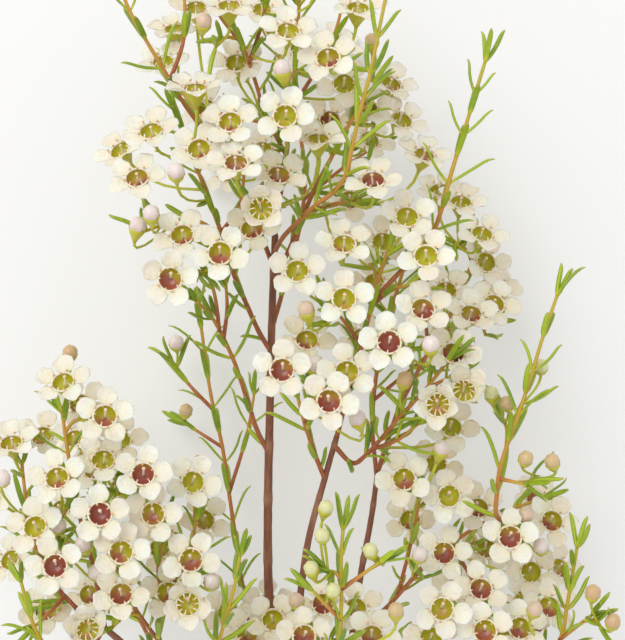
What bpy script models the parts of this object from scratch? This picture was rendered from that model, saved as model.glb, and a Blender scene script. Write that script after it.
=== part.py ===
"""A cut stem of white waxflower, lying on a table.

The stem lies along Y with its cut end at -Y, and its flowering head rises about 10 cm off the table.
One woody stem forks into limbs. Every spray is its own object: its twigs, its opposite needle leaves,
its five-petalled blooms with their funnel cups and thin stalks, and its round buds, joined in one solid.

Places on the plant are written (across, down, height). Across and down are picture units, PICTURE_UNIT
apart at FOCUS_HEIGHT, seen by an eye straight above the head; height is in millimetres above the table.
"""

import math
import random

import bmesh
import bpy
from mathutils import Matrix, Vector
from mathutils.bvhtree import BVHTree

MM = 0.001
PICTURE_UNIT = 0.28 * MM
PICTURE_MIDDLE = (312.5, 320.0)
FOCUS_HEIGHT = 80 * MM
EYE_HEIGHT = 530 * MM
HEAD_SHIFT = Vector((7.1, 96.5, 0.0)) * MM

BLOOM_REACH = 8.4 * MM
PETAL_HALF_WIDTH = 3.1 * MM
PETAL_SHOULDER = 5.6 * MM
CUP_RIM = 2.9 * MM
RIM_THICKNESS = 1.1 * MM
CUP_DEPTH = 3.0 * MM
FUNNEL_LENGTH = 5.6 * MM
STALK_RADIUS = 0.5 * MM
STALK_LENGTH = 8.0 * MM
BUD_RADIUS = 2.4 * MM
YOUNG_BUD_RADIUS = 1.75 * MM
LEAF_LENGTH = 12.5 * MM
LEAF_HALF_WIDTH = 0.85 * MM
TWIG_RADIUS = 0.75 * MM
SEAT_GAP = 0.3 * MM
FOOT_DEPTH = 0.2 * MM
FOOT_RISE = 0.9 * MM
LEAF_FOOT = 0.75 * MM
TWIG_SIDES = 4
SIDE_TWIG_SIDES = 4
LIMB_SIDES = 6
TWIG_STEP = 15 * MM
LIMB_STEP = 22 * MM
CLUSTER_REACH = 14 * MM
CLUSTER_SIZE = 5
LOW_BLOOM = 17
NUDGES = [(0, 0, height) for height in (0, 3, -3, 6, -6, 9, -9, 12, -13)] + [
    (across, down, height)
    for height in (0, 5, -5, 10, -10, 15, -16)
    for across, down in ((9, 0), (-9, 0), (0, 9), (0, -9))
]

COLOURS = {
    "bark": ((0.20, 0.075, 0.035), 0.75),
    "leaf": ((0.13, 0.27, 0.03), 0.5),
    "petal": ((0.88, 0.86, 0.80), 0.55),
    "cup": ((0.42, 0.38, 0.05), 0.35),
    "bud": ((0.80, 0.66, 0.56), 0.45),
}
MATERIAL_ORDER = ["bark", "leaf", "petal", "cup", "bud"]

# The woody stem and the limbs that grow from it: path, and radius in mm at the root and at the end.
LIMBS = {
    "trunk": (
        [(303, 1240, 1.9), (299, 1080, 3.4), (292, 920, 15), (286, 800, 30), (276, 690, 42), (268, 575, 48),
         (268, 490, 50), (270, 400, 52), (272, 310, 54), (275, 235, 55)],
        (2.3, 1.0),
    ),
    "right_limb": (
        [(291, 890, 18), (292, 760, 36), (296, 640, 50), (307, 548, 54), (325, 478, 58), (337, 436, 60)],
        (1.5, 0.8),
    ),
    "far_limb": (
        [(295, 960, 11), (326, 800, 22), (346, 680, 28), (360, 580, 31), (371, 520, 32), (378, 470, 32)],
        (1.5, 0.8),
    ),
    "left_limb": (
        [(292, 910, 16), (250, 805, 34), (190, 710, 52), (119, 640, 61), (76, 608, 64)],
        (1.5, 0.8),
    ),
    "low_limb": (
        [(297, 1000, 8), (372, 850, 18), (440, 735, 30), (505, 665, 40), (548, 620, 44)],
        (1.4, 0.8),
    ),
}

# Each spray: the limb it grows from, its twig paths (the first one starts inside the limb), the spacing
# of its leaf pairs in mm, its open blooms (across, down, height, lean across, lean up, redness of the cup),
# its half-open blooms in the same words, and its buds (across, down, height, size from 0 young to 1 ripe).
SPRAYS = {
    "spray_crown": {
        "twigs": [
            [(275, 237, 55), (281, 190, 58), (288, 140, 60), (293, 90, 60), (297, 40, 60), (300, -10, 60)],
            [(286, 155, 60), (262, 110, 62), (252, 60, 66), (234, 35, 72), (208, 0, 78), (197, -22, 80)],
            [(252, 62, 66), (260, 30, 70), (267, 0, 74), (273, -32, 76)],
            [(290, 110, 60), (318, 70, 64), (336, 30, 66), (345, -8, 66)],
        ],
        "spacing": 15,
        "blooms": [
            (229, 6, 84, 0.0, 0.7, 0.3), (288, 31, 90, 0.0, 0.6, 0.2), (328, 58, 92, -0.1, 0.35, 0.5),
            (358, 8, 84, 0.1, 0.75, 0.3), (236, 63, 68, 0.0, 0.5, 0.2), (344, 84, 64, 0.0, 0.3, 0.1),
            (285, 116, 92, 0.0, 0.2, 0.1), (230, 122, 90, 0.0, 0.4, 0.6), (318, 139, 84, 0.0, 0.75, 0.3),
            (214, -34, 70, -0.2, 0.7, 0.3), (262, -40, 84, 0.0, 0.6, 0.5), (316, -42, 72, 0.1, 0.7, 0.3),
            (355, -50, 58, 0.2, 0.7, 0.6),
        ],
        "half_open": [],
        "buds": [(282, 68, 97, 1.0), (204, 21, 86, 0.8), (294, 146, 96, 1.0), (312, -24, 86, 0.7)],
    },
    "spray_crown_left": {
        "twigs": [
            [(268, 352, 53), (258, 330, 56), (246, 303, 59), (235, 278, 62), (224, 240, 66), (207, 195, 69),
             (190, 150, 70), (176, 112, 71)],
            [(222, 232, 66), (240, 205, 70), (244, 175, 72)],
        ],
        "spacing": 14,
        "blooms": [
            (195, 88, 86, 0.0, 0.8, 0.4), (151, 131, 82, -0.2, 0.65, 0.3), (199, 149, 90, 0.0, 0.5, 0.4),
            (236, 163, 90, 0.0, 0.65, 0.8), (137, 178, 86, -0.1, 0.5, 0.8), (182, 235, 86, -0.1, 0.5, 0.5),
            (279, 175, 82, 0.1, 0.6, 0.7), (252, 229, 82, 0.0, 0.5, 0.6), (120, 150, 62, -0.4, 0.6, 0.4),
        ],
        "half_open": [(261, 200, 98, 0.0, 0.1, 0.1)],
        "buds": [(176, 171, 95, 1.0), (151, 213, 92, 0.9), (138, 225, 86, 1.0)],
    },
    "shoot_upper_left": {
        "twigs": [
            [(273, 268, 54), (256, 222, 53), (236, 180, 55), (212, 140, 60), (186, 108, 68),
             (171, 82, 76), (152, 50, 80), (138, 27, 82),
             (124, 0, 84), (115, -26, 85)],
            [(171, 82, 76), (182, 55, 78), (186, 20, 79), (184, -15, 79)],
        ],
        "spacing": 9,
        "blooms": [(174, 29, 46, -0.1, 0.8, 0.2), (163, 62, 50, -0.2, 0.7, 0.2),
                   (196, 8, 44, 0.0, 0.7, 0.4)],
        "half_open": [],
        "buds": [],
    },
    "spray_left": {
        "twigs": [
            [(265, 454, 51), (257, 430, 53), (244, 391, 56), (232, 356, 60), (223, 329, 64),
             (206, 311, 69), (195, 300, 74)],
            [(223, 329, 64), (216, 302, 68), (211, 280, 72)],
            [(226, 336, 62), (227, 310, 64), (226, 285, 66)],
        ],
        "spacing": 16,
        "blooms": [(170, 279, 92, 0.0, 0.0, 0.7), (220, 253, 92, 0.0, 0.2, 0.6)],
        "half_open": [],
        "buds": [],
    },
    "spray_right_crown": {
        "twigs": [
            [(272, 286, 53), (290, 250, 55), (306, 206, 60), (330, 160, 64), (352, 120, 62),
             (372, 85, 58)],
            [(300, 212, 61), (330, 205, 66), (356, 200, 70)],
        ],
        "spacing": 14,
        "blooms": [
            (373, 180, 90, 0.0, 0.7, 0.9), (402, 120, 48, 0.3, 0.5, 0.1), (367, 108, 54, 0.1, 0.6, 0.6),
            (391, 84, 42, 0.3, 0.6, 0.4), (344, 244, 88, 0.0, 0.6, 0.6), (424, 155, 54, 0.2, 0.7, 0.6),
        ],
        "half_open": [],
        "buds": [(372, 40, 60, 0.6)],
    },
    "shoot_upper_right": {
        "twigs": [[(274, 252, 55), (284, 236, 68), (312, 208, 80), (344, 184, 88), (355, 133, 94),
                   (364, 96, 97), (371, 71, 98),
                   (381, 20, 99), (388, -14, 99)]],
        "spacing": 8,
        "shoot": True,
        "blooms": [],
        "half_open": [],
        "buds": [],
    },
    "spray_middle": {
        "twigs": [
            [(336, 438, 60), (346, 400, 64), (358, 360, 68), (368, 320, 72), (378, 280, 74),
             (388, 250, 74)],
            [(362, 345, 69), (345, 322, 74), (332, 305, 78)],
            [(371, 305, 73), (392, 290, 76), (410, 285, 78)],
        ],
        "spacing": 13,
        "blooms": [
            (344, 299, 94, 0.0, 0.3, 0.2), (389, 342, 96, 0.0, 0.3, 0.9), (423, 309, 90, 0.1, 0.5, 0.8),
            (426, 256, 92, 0.0, 0.35, 0.2), (407, 217, 84, 0.0, 0.45, 0.1), (383, 242, 66, 0.0, 0.5, 0.2),
            (347, 372, 94, 0.1, 0.3, 0.2), (297, 271, 90, 0.0, 0.4, 0.1),
        ],
        "half_open": [],
        "buds": [(306, 309, 94, 0.8), (431, 344, 97, 1.0), (352, 238, 70, 0.8)],
    },
    "spray_middle_low": {
        "twigs": [
            [(325, 479, 58), (312, 447, 62), (304, 422, 67), (298, 398, 72)],
            [(304, 422, 67), (316, 398, 72)],
        ],
        "spacing": 11,
        "blooms": [
            (282, 370, 96, 0.0, 0.15, 0.8), (329, 401, 92, 0.1, 0.3, 0.8), (307, 340, 88, 0.0, 0.6, 0.5),
        ],
        "half_open": [],
        "buds": [(316, 364, 90, 1.0), (357, 418, 92, 0.9)],
    },
    "spray_right": {
        "twigs": [
            [(334, 446, 60), (352, 463, 62), (368, 454, 66), (397, 420, 74), (425, 390, 80),
             (447, 362, 83)],
            [(372, 450, 67), (398, 440, 72), (418, 424, 74)],
            [(425, 390, 80), (448, 378, 82)],
        ],
        "spacing": 8,
        "blooms": [(453, 353, 82, 0.1, 0.5, 0.8), (451, 427, 64, 0.2, 0.5, 0.2)],
        "half_open": [(438, 405, 94, -0.1, 0.1, 0.4), (464, 391, 88, 0.1, 0.4, 0.1)],
        "buds": [(405, 379, 88, 0.7)],
    },
    "spray_right_far": {
        "twigs": [
            [(378, 472, 32), (394, 420, 34), (420, 366, 36), (446, 322, 37), (466, 285, 37),
             (476, 250, 36)],
            [(440, 332, 37), (470, 325, 38), (490, 322, 38)],
            [(428, 352, 37), (424, 300, 38), (430, 262, 38)],
        ],
        "spacing": 14,
        "blooms": [
            (482, 234, 50, 0.2, 0.6, 0.3), (461, 202, 44, 0.1, 0.7, 0.2), (471, 314, 64, 0.1, 0.6, 0.7),
            (494, 304, 48, 0.2, 0.5, 0.6), (510, 328, 42, 0.3, 0.4, 0.1), (486, 262, 36, 0.4, 0.3, 0.3),
            (440, 190, 40, 0.0, 0.7, 0.4), (500, 290, 24, 0.5, 0.4, 0.4), (446, 290, 56, 0.1, 0.6, 0.4),
        ],
        "half_open": [],
        "buds": [],
    },
    "shoot_right": {
        "twigs": [[(372, 300, 73), (404, 268, 72), (428, 246, 72), (441, 212, 76), (452, 170, 80),
                   (463, 135, 82), (472, 105, 83),
                   (480, 78, 84), (485, 62, 84)]],
        "grows_from": "spray_middle",
        "spacing": 8,
        "shoot": True,
        "blooms": [],
        "half_open": [],
        "buds": [],
    },
    "spray_low_right": {
        "twigs": [
            [(352, 640, 29), (388, 606, 38), (430, 560, 44), (470, 530, 48), (510, 510, 50),
             (538, 500, 50)],
            [(398, 596, 39), (410, 550, 46), (416, 510, 50), (422, 486, 52)],
            [(452, 545, 46), (470, 570, 50), (482, 605, 54)],
        ],
        "spacing": 13,
        "blooms": [
            (404, 479, 70, 0.0, 0.2, 0.5), (436, 464, 60, 0.0, 0.4, 0.4), (449, 496, 66, 0.1, 0.0, 0.3),
            (510, 537, 68, 0.0, 0.2, 0.7), (552, 521, 54, 0.1, 0.4, 0.6), (536, 500, 36, 0.2, 0.5, 0.8),
            (481, 589, 68, 0.0, 0.5, 0.9), (531, 572, 46, 0.2, 0.3, 0.1), (444, 553, 62, 0.1, 0.3, 0.6),
            (451, 609, 76, 0.0, 0.1, 0.3), (485, 631, 78, 0.0, 0.1, 0.5), (410, 520, 34, 0.0, 0.4, 0.4),
            (478, 508, 40, 0.1, 0.5, 0.5), (486, 548, 34, 0.1, 0.4, 0.3),
        ],
        "half_open": [],
        "buds": [(420, 554, 72, 0.9), (442, 448, 76, 0.9), (541, 546, 66, 0.9), (526, 514, 72, 0.8)],
    },
    "shoot_low_right": {
        "twigs": [
            [(513, 512, 50), (513, 524, 59), (497, 520, 69), (497, 480, 78), (505, 450, 80),
             (515, 425, 82), (530, 380, 84), (545, 330, 85),
             (557, 296, 85)],
            [(497, 480, 78), (512, 470, 80), (524, 484, 82)],
        ],
        "grows_from": "spray_low_right",
        "spacing": 8,
        "shoot": True,
        "blooms": [],
        "half_open": [],
        "buds": [(526, 458, 84, 0.6), (552, 461, 84, 0.6), (491, 393, 78, 0.5), (507, 403, 78, 0.6),
                 (541, 366, 80, 0.5)],
    },
    "spray_corner": {
        "twigs": [
            [(500, 668, 39), (520, 690, 50), (540, 672, 60), (556, 650, 64), (563, 632, 66),
             (568, 600, 68), (574, 568, 69), (577, 548, 69)],
            [(560, 640, 65), (580, 632, 70), (592, 615, 74)],
        ],
        "spacing": 8,
        "shoot": True,
        "blooms": [(549, 607, 52, 0.1, 0.4, 0.6), (600, 640, 46, 0.3, 0.3, 0.5),
                   (520, 628, 66, 0.0, 0.3, 0.6)],
        "half_open": [],
        "buds": [(593, 592, 84, 0.7), (613, 621, 84, 0.7), (526, 609, 76, 0.8)],
    },
    "spray_low_left": {
        "twigs": [
            [(76, 608, 64), (60, 594, 68), (45, 570, 71), (33, 540, 72), (25, 500, 70), (22, 465, 66)],
            [(64, 598, 67), (50, 612, 72), (36, 625, 76)],
            [(40, 556, 72), (60, 530, 76), (66, 510, 78)],
        ],
        "spacing": 12,
        "blooms": [
            (55, 566, 92, 0.0, 0.1, 0.8), (35, 527, 86, -0.1, 0.4, 0.3), (57, 478, 88, 0.0, 0.5, 0.3),
            (11, 443, 72, -0.1, 0.8, 0.4), (46, 611, 62, -0.1, 0.6, 0.5), (-8, 500, 66, -0.5, 0.4, 0.5),
            (10, 560, 52, -0.4, 0.5, 0.4),
        ],
        "half_open": [],
        "buds": [(36, 402, 80, 1.0), (83, 544, 92, 0.9), (58, 525, 90, 0.9), (2, 478, 88, 1.0),
                 (96, 572, 90, 0.9)],
    },
    "spray_low_left_tall": {
        "twigs": [
            [(106, 629, 62), (98, 590, 64), (92, 560, 66), (80, 518, 68), (72, 480, 69), (66, 440, 68),
             (62, 412, 66)],
            [(84, 535, 67), (104, 505, 70), (116, 480, 71)],
        ],
        "spacing": 12,
        "blooms": [
            (63, 382, 72, -0.1, 0.6, 0.2), (105, 416, 86, 0.1, 0.3, 0.6), (103, 460, 80, 0.1, 0.6, 0.3),
            (100, 514, 92, 0.0, 0.1, 1.0), (143, 474, 86, 0.1, 0.4, 0.9), (42, 436, 58, -0.2, 0.6, 0.4),
            (80, 404, 52, 0.0, 0.5, 0.5), (120, 440, 54, 0.2, 0.5, 0.3),
        ],
        "half_open": [],
        "buds": [(108, 396, 72, 0.8), (70, 352, 60, 0.7)],
    },
    "spray_low_left_inner": {
        "twigs": [
            [(150, 669, 57), (158, 640, 62), (160, 600, 66), (158, 560, 68), (164, 525, 68)],
            [(159, 590, 66), (178, 575, 68), (190, 560, 68), (196, 520, 66)],
            [(158, 640, 62), (136, 612, 68), (126, 580, 72)],
        ],
        "spacing": 12,
        "blooms": [
            (153, 514, 88, 0.0, 0.1, 0.5), (193, 482, 74, 0.2, 0.4, 0.1), (121, 552, 88, 0.1, 0.3, 0.5),
            (191, 560, 84, 0.1, 0.2, 0.6), (121, 594, 88, 0.0, 0.5, 0.7), (168, 593, 74, 0.1, 0.4, 0.5),
            (204, 520, 52, 0.3, 0.4, 0.4), (160, 548, 46, 0.0, 0.5, 0.5),
        ],
        "half_open": [(188, 604, 92, 0.0, 0.1, 0.1), (88, 630, 90, 0.0, 0.5, 0.3)],
        "buds": [(212, 581, 92, 1.0), (200, 462, 70, 0.7)],
    },
    "shoot_low_middle_left": {
        "twigs": [[(196, 722, 49), (206, 700, 62), (212, 668, 76), (222, 630, 86), (235, 585, 91),
                   (240, 556, 92)]],
        "spacing": 7,
        "shoot": True,
        "blooms": [],
        "half_open": [],
        "buds": [],
    },
    "shoot_low_left": {
        "twigs": [[(104, 628, 62), (92, 655, 70), (66, 668, 76), (44, 645, 82), (36, 632, 84),
                   (26, 604, 86), (21, 582, 87)]],
        "spacing": 7,
        "shoot": True,
        "blooms": [],
        "half_open": [],
        "buds": [],
    },
    "shoot_low_middle": {
        "twigs": [
            [(287, 835, 25), (300, 770, 56), (325, 700, 82), (338, 650, 92), (342, 610, 96),
             (341, 560, 98), (343, 530, 98)],
            [(341, 620, 95), (322, 602, 97), (312, 590, 98)],
            [(341, 588, 96), (362, 575, 99), (380, 562, 100)],
        ],
        "spacing": 8,
        "shoot": True,
        "blooms": [],
        "half_open": [],
        "buds": [(326, 507, 101, 0.4), (322, 535, 101, 0.4), (311, 568, 101, 0.4), (333, 590, 103, 0.4),
                 (370, 550, 101, 0.4), (397, 543, 100, 0.4), (396, 610, 100, 0.6)],
    },
    "spray_low_middle": {
        "twigs": [
            [(292, 768, 35), (282, 720, 34), (280, 680, 40), (286, 650, 50)],
            [(281, 700, 36), (300, 670, 44), (330, 640, 52)],
            [(280, 690, 38), (262, 650, 42)],
        ],
        "spacing": 12,
        "blooms": [
            (304, 636, 74, 0.0, 0.3, 0.7), (323, 604, 62, 0.1, 0.4, 0.6), (247, 634, 60, 0.2, 0.5, 0.5),
            (268, 604, 46, 0.0, 0.5, 0.4), (282, 620, 58, 0.0, 0.5, 0.3), (228, 612, 50, -0.1, 0.5, 0.2),
        ],
        "half_open": [],
        "buds": [(296, 600, 66, 0.8)],
    },
    "spray_low_middle_right": {
        "twigs": [
            [(340, 712, 26), (362, 690, 38), (382, 660, 50), (396, 640, 56)],
        ],
        "spacing": 12,
        "blooms": [
            (372, 636, 76, 0.0, 0.5, 0.8), (431, 638, 76, 0.0, 0.3, 0.1), (400, 612, 66, 0.1, 0.4, 0.4),
            (356, 608, 52, 0.0, 0.5, 0.4),
        ],
        "half_open": [],
        "buds": [],
    },
    "twig_background": {
        "twigs": [
            [(277, 700, 41), (256, 650, 32), (243, 590, 26), (236, 541, 23), (229, 493, 21),
             (223, 447, 20), (214, 411, 19),
             (208, 378, 18), (203, 340, 18), (198, 306, 18)],
            [(214, 411, 19), (198, 395, 19), (180, 374, 20), (173, 362, 21)],
            [(229, 493, 21), (240, 460, 20), (249, 425, 20), (254, 395, 20)],
            [(223, 447, 20), (205, 435, 16), (188, 425, 13)],
        ],
        "spacing": 9,
        "blooms": [],
        "half_open": [],
        "buds": [(176, 342, 24, 1.0), (186, 410, 18, 0.6)],
    },
    "spray_under_crown": {
        "twigs": [
            [(271, 330, 53), (286, 280, 40), (300, 230, 30), (306, 170, 24), (296, 110, 20),
             (280, 60, 18), (262, 20, 18)],
            [(303, 200, 27), (340, 170, 22), (370, 150, 20)],
            [(300, 130, 22), (250, 120, 20), (215, 112, 20)],
        ],
        "spacing": 15,
        "blooms": [
            (262, 10, 24, 0.0, 0.6, 0.3), (300, 50, 26, 0.2, 0.5, 0.6), (240, 70, 20, -0.3, 0.5, 0.4),
            (205, 108, 22, -0.5, 0.5, 0.5), (370, 140, 26, 0.4, 0.5, 0.3), (330, 120, 24, 0.1, 0.4, 0.8),
            (262, 150, 30, 0.0, 0.5, 0.4), (350, 200, 28, 0.3, 0.4, 0.5), (226, 170, 14, -0.6, 0.3, 0.6),
            (340, 40, 16, 0.4, 0.6, 0.5),
        ],
        "half_open": [],
        "buds": [(224, 96, 36, 0.8)],
    },
    "spray_under_right": {
        "twigs": [
            [(377, 478, 32), (372, 420, 22), (378, 360, 18), (394, 300, 16), (410, 250, 16)],
            [(374, 400, 20), (410, 370, 16), (440, 345, 15)],
        ],
        "spacing": 15,
        "blooms": [
            (412, 236, 22, 0.2, 0.5, 0.4), (374, 282, 24, -0.2, 0.5, 0.5), (446, 330, 16, 0.5, 0.3, 0.3),
            (360, 338, 26, -0.3, 0.4, 0.6), (430, 284, 12, 0.5, 0.4, 0.4), (400, 360, 26, 0.1, 0.4, 0.7),
        ],
        "half_open": [],
        "buds": [],
    },
    "spray_under_low_left": {
        "twigs": [
            [(190, 715, 51), (160, 660, 36), (130, 600, 26), (110, 540, 22), (96, 490, 20)],
            [(120, 570, 24), (80, 550, 20), (50, 530, 18)],
        ],
        "spacing": 15,
        "blooms": [
            (94, 470, 22, 0.0, 0.5, 0.4), (140, 500, 24, 0.3, 0.4, 0.5), (60, 510, 24, -0.4, 0.4, 0.4),
            (34, 560, 14, -0.6, 0.2, 0.6), (84, 600, 16, -0.2, 0.3, 0.4), (150, 580, 26, 0.3, 0.4, 0.3),
            (70, 440, 12, -0.3, 0.6, 0.5),
        ],
        "half_open": [],
        "buds": [],
    },
    "spray_under_low_right": {
        "twigs": [
            [(468, 702, 34), (480, 650, 24), (486, 600, 20), (496, 560, 18)],
            [(482, 630, 22), (520, 600, 18), (548, 580, 17)],
        ],
        "spacing": 15,
        "blooms": [
            (500, 544, 22, 0.1, 0.5, 0.4), (560, 568, 20, 0.5, 0.4, 0.5), (524, 600, 24, 0.2, 0.3, 0.3),
            (460, 590, 16, -0.3, 0.4, 0.5), (580, 600, 12, 0.7, 0.2, 0.6), (504, 640, 22, 0.1, 0.2, 0.6),
        ],
        "half_open": [],
        "buds": [],
    },
}


def spot(place):
    """The point at this height on the line of sight through that place in the picture."""
    height = place[2] * MM
    reach = PICTURE_UNIT * (EYE_HEIGHT - height) / (EYE_HEIGHT - FOCUS_HEIGHT)
    across = (place[0] - PICTURE_MIDDLE[0]) * reach
    up = (PICTURE_MIDDLE[1] - place[1]) * reach
    return Vector((across, up, height)) + HEAD_SHIFT


def smooth_path(points, step):
    """A Catmull-Rom curve through the points, with a point about every step."""
    padded = [points[0] * 2 - points[1], *points, points[-1] * 2 - points[-2]]
    path = []
    for before, start, end, after in zip(padded, padded[1:], padded[2:], padded[3:]):
        count = max(1, round((end - start).length / step))
        for i in range(count):
            t = i / count
            path.append(
                0.5 * (2 * start + (end - before) * t + (2 * before - 5 * start + 4 * end - after) * t**2
                       + (3 * start - before - 3 * end + after) * t**3)
            )
    return [*path, points[-1].copy()]


def turned_frames(path, first_side=None):
    """A pair of side vectors at each point of the path, turning with it and never twisting."""
    side = first_side
    frames = []
    for i, point in enumerate(path):
        along = (path[min(i + 1, len(path) - 1)] - path[max(i - 1, 0)]).normalized()
        if side is None:
            side = along.orthogonal()
        side = (side - along * side.dot(along)).normalized()
        frames.append((side.copy(), along.cross(side)))
    return frames


def ring_points(centre, frame, radius, sides, turn=0.0):
    angles = [turn + math.tau * i / sides for i in range(sides)]
    return [centre + (frame[0] * math.cos(angle) + frame[1] * math.sin(angle)) * radius for angle in angles]


class Shape:
    """Points and faces of one closed solid, in the order that they are made, each face with its material."""

    def __init__(self):
        self.points = []
        self.faces = []
        self.kinds = []

    def add(self, points):
        first = len(self.points)
        self.points.extend(points)
        return list(range(first, len(self.points)))

    def face(self, corners, kind):
        self.faces.append(tuple(corners))
        self.kinds.append(MATERIAL_ORDER.index(kind))

    def bridge(self, lower, upper, kind):
        """Triangles between two rings that start at the same angle, however many points each has."""
        low, high = 0, 0
        while low < len(lower) or high < len(upper):
            here, there = lower[low % len(lower)], upper[high % len(upper)]
            if high == len(upper) or (low < len(lower) and (low + 1) / len(lower) <= (high + 1) / len(upper)):
                low += 1
                self.face((here, lower[low % len(lower)], there), kind)
            else:
                high += 1
                self.face((here, upper[high % len(upper)], there), kind)

    def tree(self):
        return BVHTree.FromPolygons(self.points, self.faces)

    def box(self):
        low = Vector(min(p[i] for p in self.points) for i in range(3))
        high = Vector(max(p[i] for p in self.points) for i in range(3))
        return low, high


def tube(path, radii, sides, kind, has_foot=False):
    """A closed tube along the path, starting in a foot point inside its carrier if has_foot."""
    shape = Shape()
    if has_foot:
        leaving = (path[1] - path[0]).normalized()
        foot = shape.add([path[0] - leaving * FOOT_DEPTH])[0]
        path = [path[0] + leaving * FOOT_RISE, *path[1:]]
    rings = [
        shape.add(ring_points(point, frame, radius, sides))
        for point, frame, radius in zip(path, turned_frames(path), radii)
    ]
    for lower, upper in zip(rings, rings[1:]):
        for i in range(sides):
            j = (i + 1) % sides
            shape.face((lower[i], lower[j], upper[j], upper[i]), kind)
    for i in range(sides if has_foot else 0):
        shape.face((foot, rings[0][(i + 1) % sides], rings[0][i]), kind)
    if not has_foot:
        shape.face(rings[0][::-1], kind)
    shape.face(rings[-1], kind)
    return shape


def tapered(path, thick, thin):
    return [thick + (thin - thick) * i / (len(path) - 1) for i in range(len(path))]


def facing_of(lean_across, lean_up):
    return Vector((lean_across, lean_up, math.sqrt(max(0.05, 1 - lean_across**2 - lean_up**2)))).normalized()


def stalk_path(root, start, facing):
    """A thin stalk's curve from its root to where the funnel starts, arriving along the bloom's own axis."""
    reach = (start - root).length
    bend = start - facing * reach * 0.45
    first = root + (bend - root) * 0.35
    points = []
    for t in (0.0, 0.55, 1.0) if reach > 19 * MM else (0.0, 1.0):
        near_root = root * (1 - t) ** 3 + first * 3 * t * (1 - t) ** 2
        points.append(near_root + bend * 3 * t**2 * (1 - t) + start * t**3)
    leaving = (points[1] - points[0]).normalized()
    foot = root - leaving * FOOT_DEPTH
    return foot, [root + leaving * FOOT_RISE, *points[1:]]


def add_stalk(shape, above, root, start, facing, side, swelling):
    """Carries a ring of the shape on down its stalk to the foot point, which sits inside the twig."""
    foot, path = stalk_path(root, start, facing)
    path = path[::-1]
    for k, (point, frame) in enumerate(zip(path, turned_frames([start + facing, *path], side)[1:])):
        radius = STALK_RADIUS * (swelling if k == 0 else 1.0)
        below = shape.add(ring_points(point, frame, radius, 3))
        shape.bridge(above, below, "leaf")
        above = below
    foot = shape.add([foot])[0]
    for i in range(3):
        shape.face((above[i], above[(i + 1) % 3], foot), "leaf")


def bloom_frame(facing, turn):
    side = facing.orthogonal().normalized()
    side = Matrix.Rotation(turn, 3, facing) @ side
    return side, facing.cross(side)


def bloom(centre, facing, root, turn, spread, kind):
    """One bloom: five wedge petals round a cup, a funnel behind them and its thin stalk, as one closed solid.

    spread is 1 where the petals lie flat and 0 where they stand up round the cup.
    """
    shape = Shape()
    frame = bloom_frame(facing, turn)

    def at(angle, radius, height):
        return centre + (frame[0] * math.cos(angle) + frame[1] * math.sin(angle)) * radius + facing * height

    notch_angles = [math.tau * i / 5 for i in range(5)]
    top_rim = shape.add([at(a, CUP_RIM, 0) for a in notch_angles])
    low_rim = shape.add([at(a, CUP_RIM + 0.1 * MM, -RIM_THICKNESS) for a in notch_angles])
    floor = shape.add([centre - facing * CUP_DEPTH])[0]
    lift = 1 - spread
    shoulder = (PETAL_SHOULDER - CUP_RIM) * (1 - 0.55 * lift) + CUP_RIM
    reach = (BLOOM_REACH - CUP_RIM) * (1 - 0.75 * lift) + CUP_RIM
    width = PETAL_HALF_WIDTH * (1 - 0.15 * lift)
    for i in range(5):
        middle = math.tau * (i + 0.5) / 5
        outline = []
        for radius, across, height in (
            (shoulder, -width, 0.5 + 3.0 * lift),
            (reach, -width * 0.5, 1.2 + 5.2 * lift),
            (reach, width * 0.5, 1.2 + 5.2 * lift),
            (shoulder, width, 0.5 + 3.0 * lift),
        ):
            outline.append(at(middle + math.atan2(across, radius), math.hypot(radius, across), height * MM))
        outline = shape.add(outline)
        j = (i + 1) % 5
        for a, b in zip(outline, outline[1:]):
            shape.face((top_rim[i], a, b), "petal")
            shape.face((low_rim[j], b, a), "petal")
        shape.face((top_rim[i], outline[-1], top_rim[j]), "petal")
        shape.face((low_rim[j], outline[0], low_rim[i]), "petal")
        shape.face((top_rim[i], low_rim[i], outline[0]), "petal")
        shape.face((top_rim[j], outline[-1], low_rim[j]), "petal")
        shape.face((top_rim[i], top_rim[j], floor), kind)
    above = [low_rim[0], *low_rim[:0:-1]]
    add_stalk(shape, above, root, centre - facing * FUNNEL_LENGTH, facing, frame[0], 1.6)
    return shape


def bud(centre, facing, root, size, turn):
    """One bud: a ball on a short funnel with its thin stalk."""
    shape = Shape()
    frame = bloom_frame(facing, turn)
    radius = YOUNG_BUD_RADIUS + (BUD_RADIUS - YOUNG_BUD_RADIUS) * size
    flipped = (frame[0], -frame[1])
    crown = shape.add([centre + facing * radius])[0]
    upper = shape.add(ring_points(centre + facing * radius * 0.45, flipped, radius * 0.88, 5))
    lower = shape.add(ring_points(centre - facing * radius * 0.35, flipped, radius * 0.93, 5))
    for i in range(5):
        shape.face((crown, upper[(i + 1) % 5], upper[i]), "bud")
    shape.bridge(upper, lower, "bud")
    add_stalk(shape, lower, root, centre - facing * radius * 2.0, facing, frame[0], 1.3)
    return shape


def leaf_points(node, frame, along, quarter, tilt, length):
    """Where a leaf widens and where it ends: three points round its middle and its tip."""
    angle = math.pi / 4 + math.pi / 2 * quarter
    out = frame[0] * math.cos(angle) + frame[1] * math.sin(angle)
    heading = along * math.cos(tilt) + out * math.sin(tilt)
    across = along.cross(out)
    over = heading.cross(across)
    start = node + out * TWIG_RADIUS * 1.1
    middle = start + heading * length * 0.55
    wide = [
        middle + (over * math.cos(turn) + across * math.sin(turn)) * LEAF_HALF_WIDTH
        for turn in (math.pi, math.pi / 3, math.pi * 5 / 3)
    ]
    return start, wide, start + heading * length - over * length * 0.05


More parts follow.
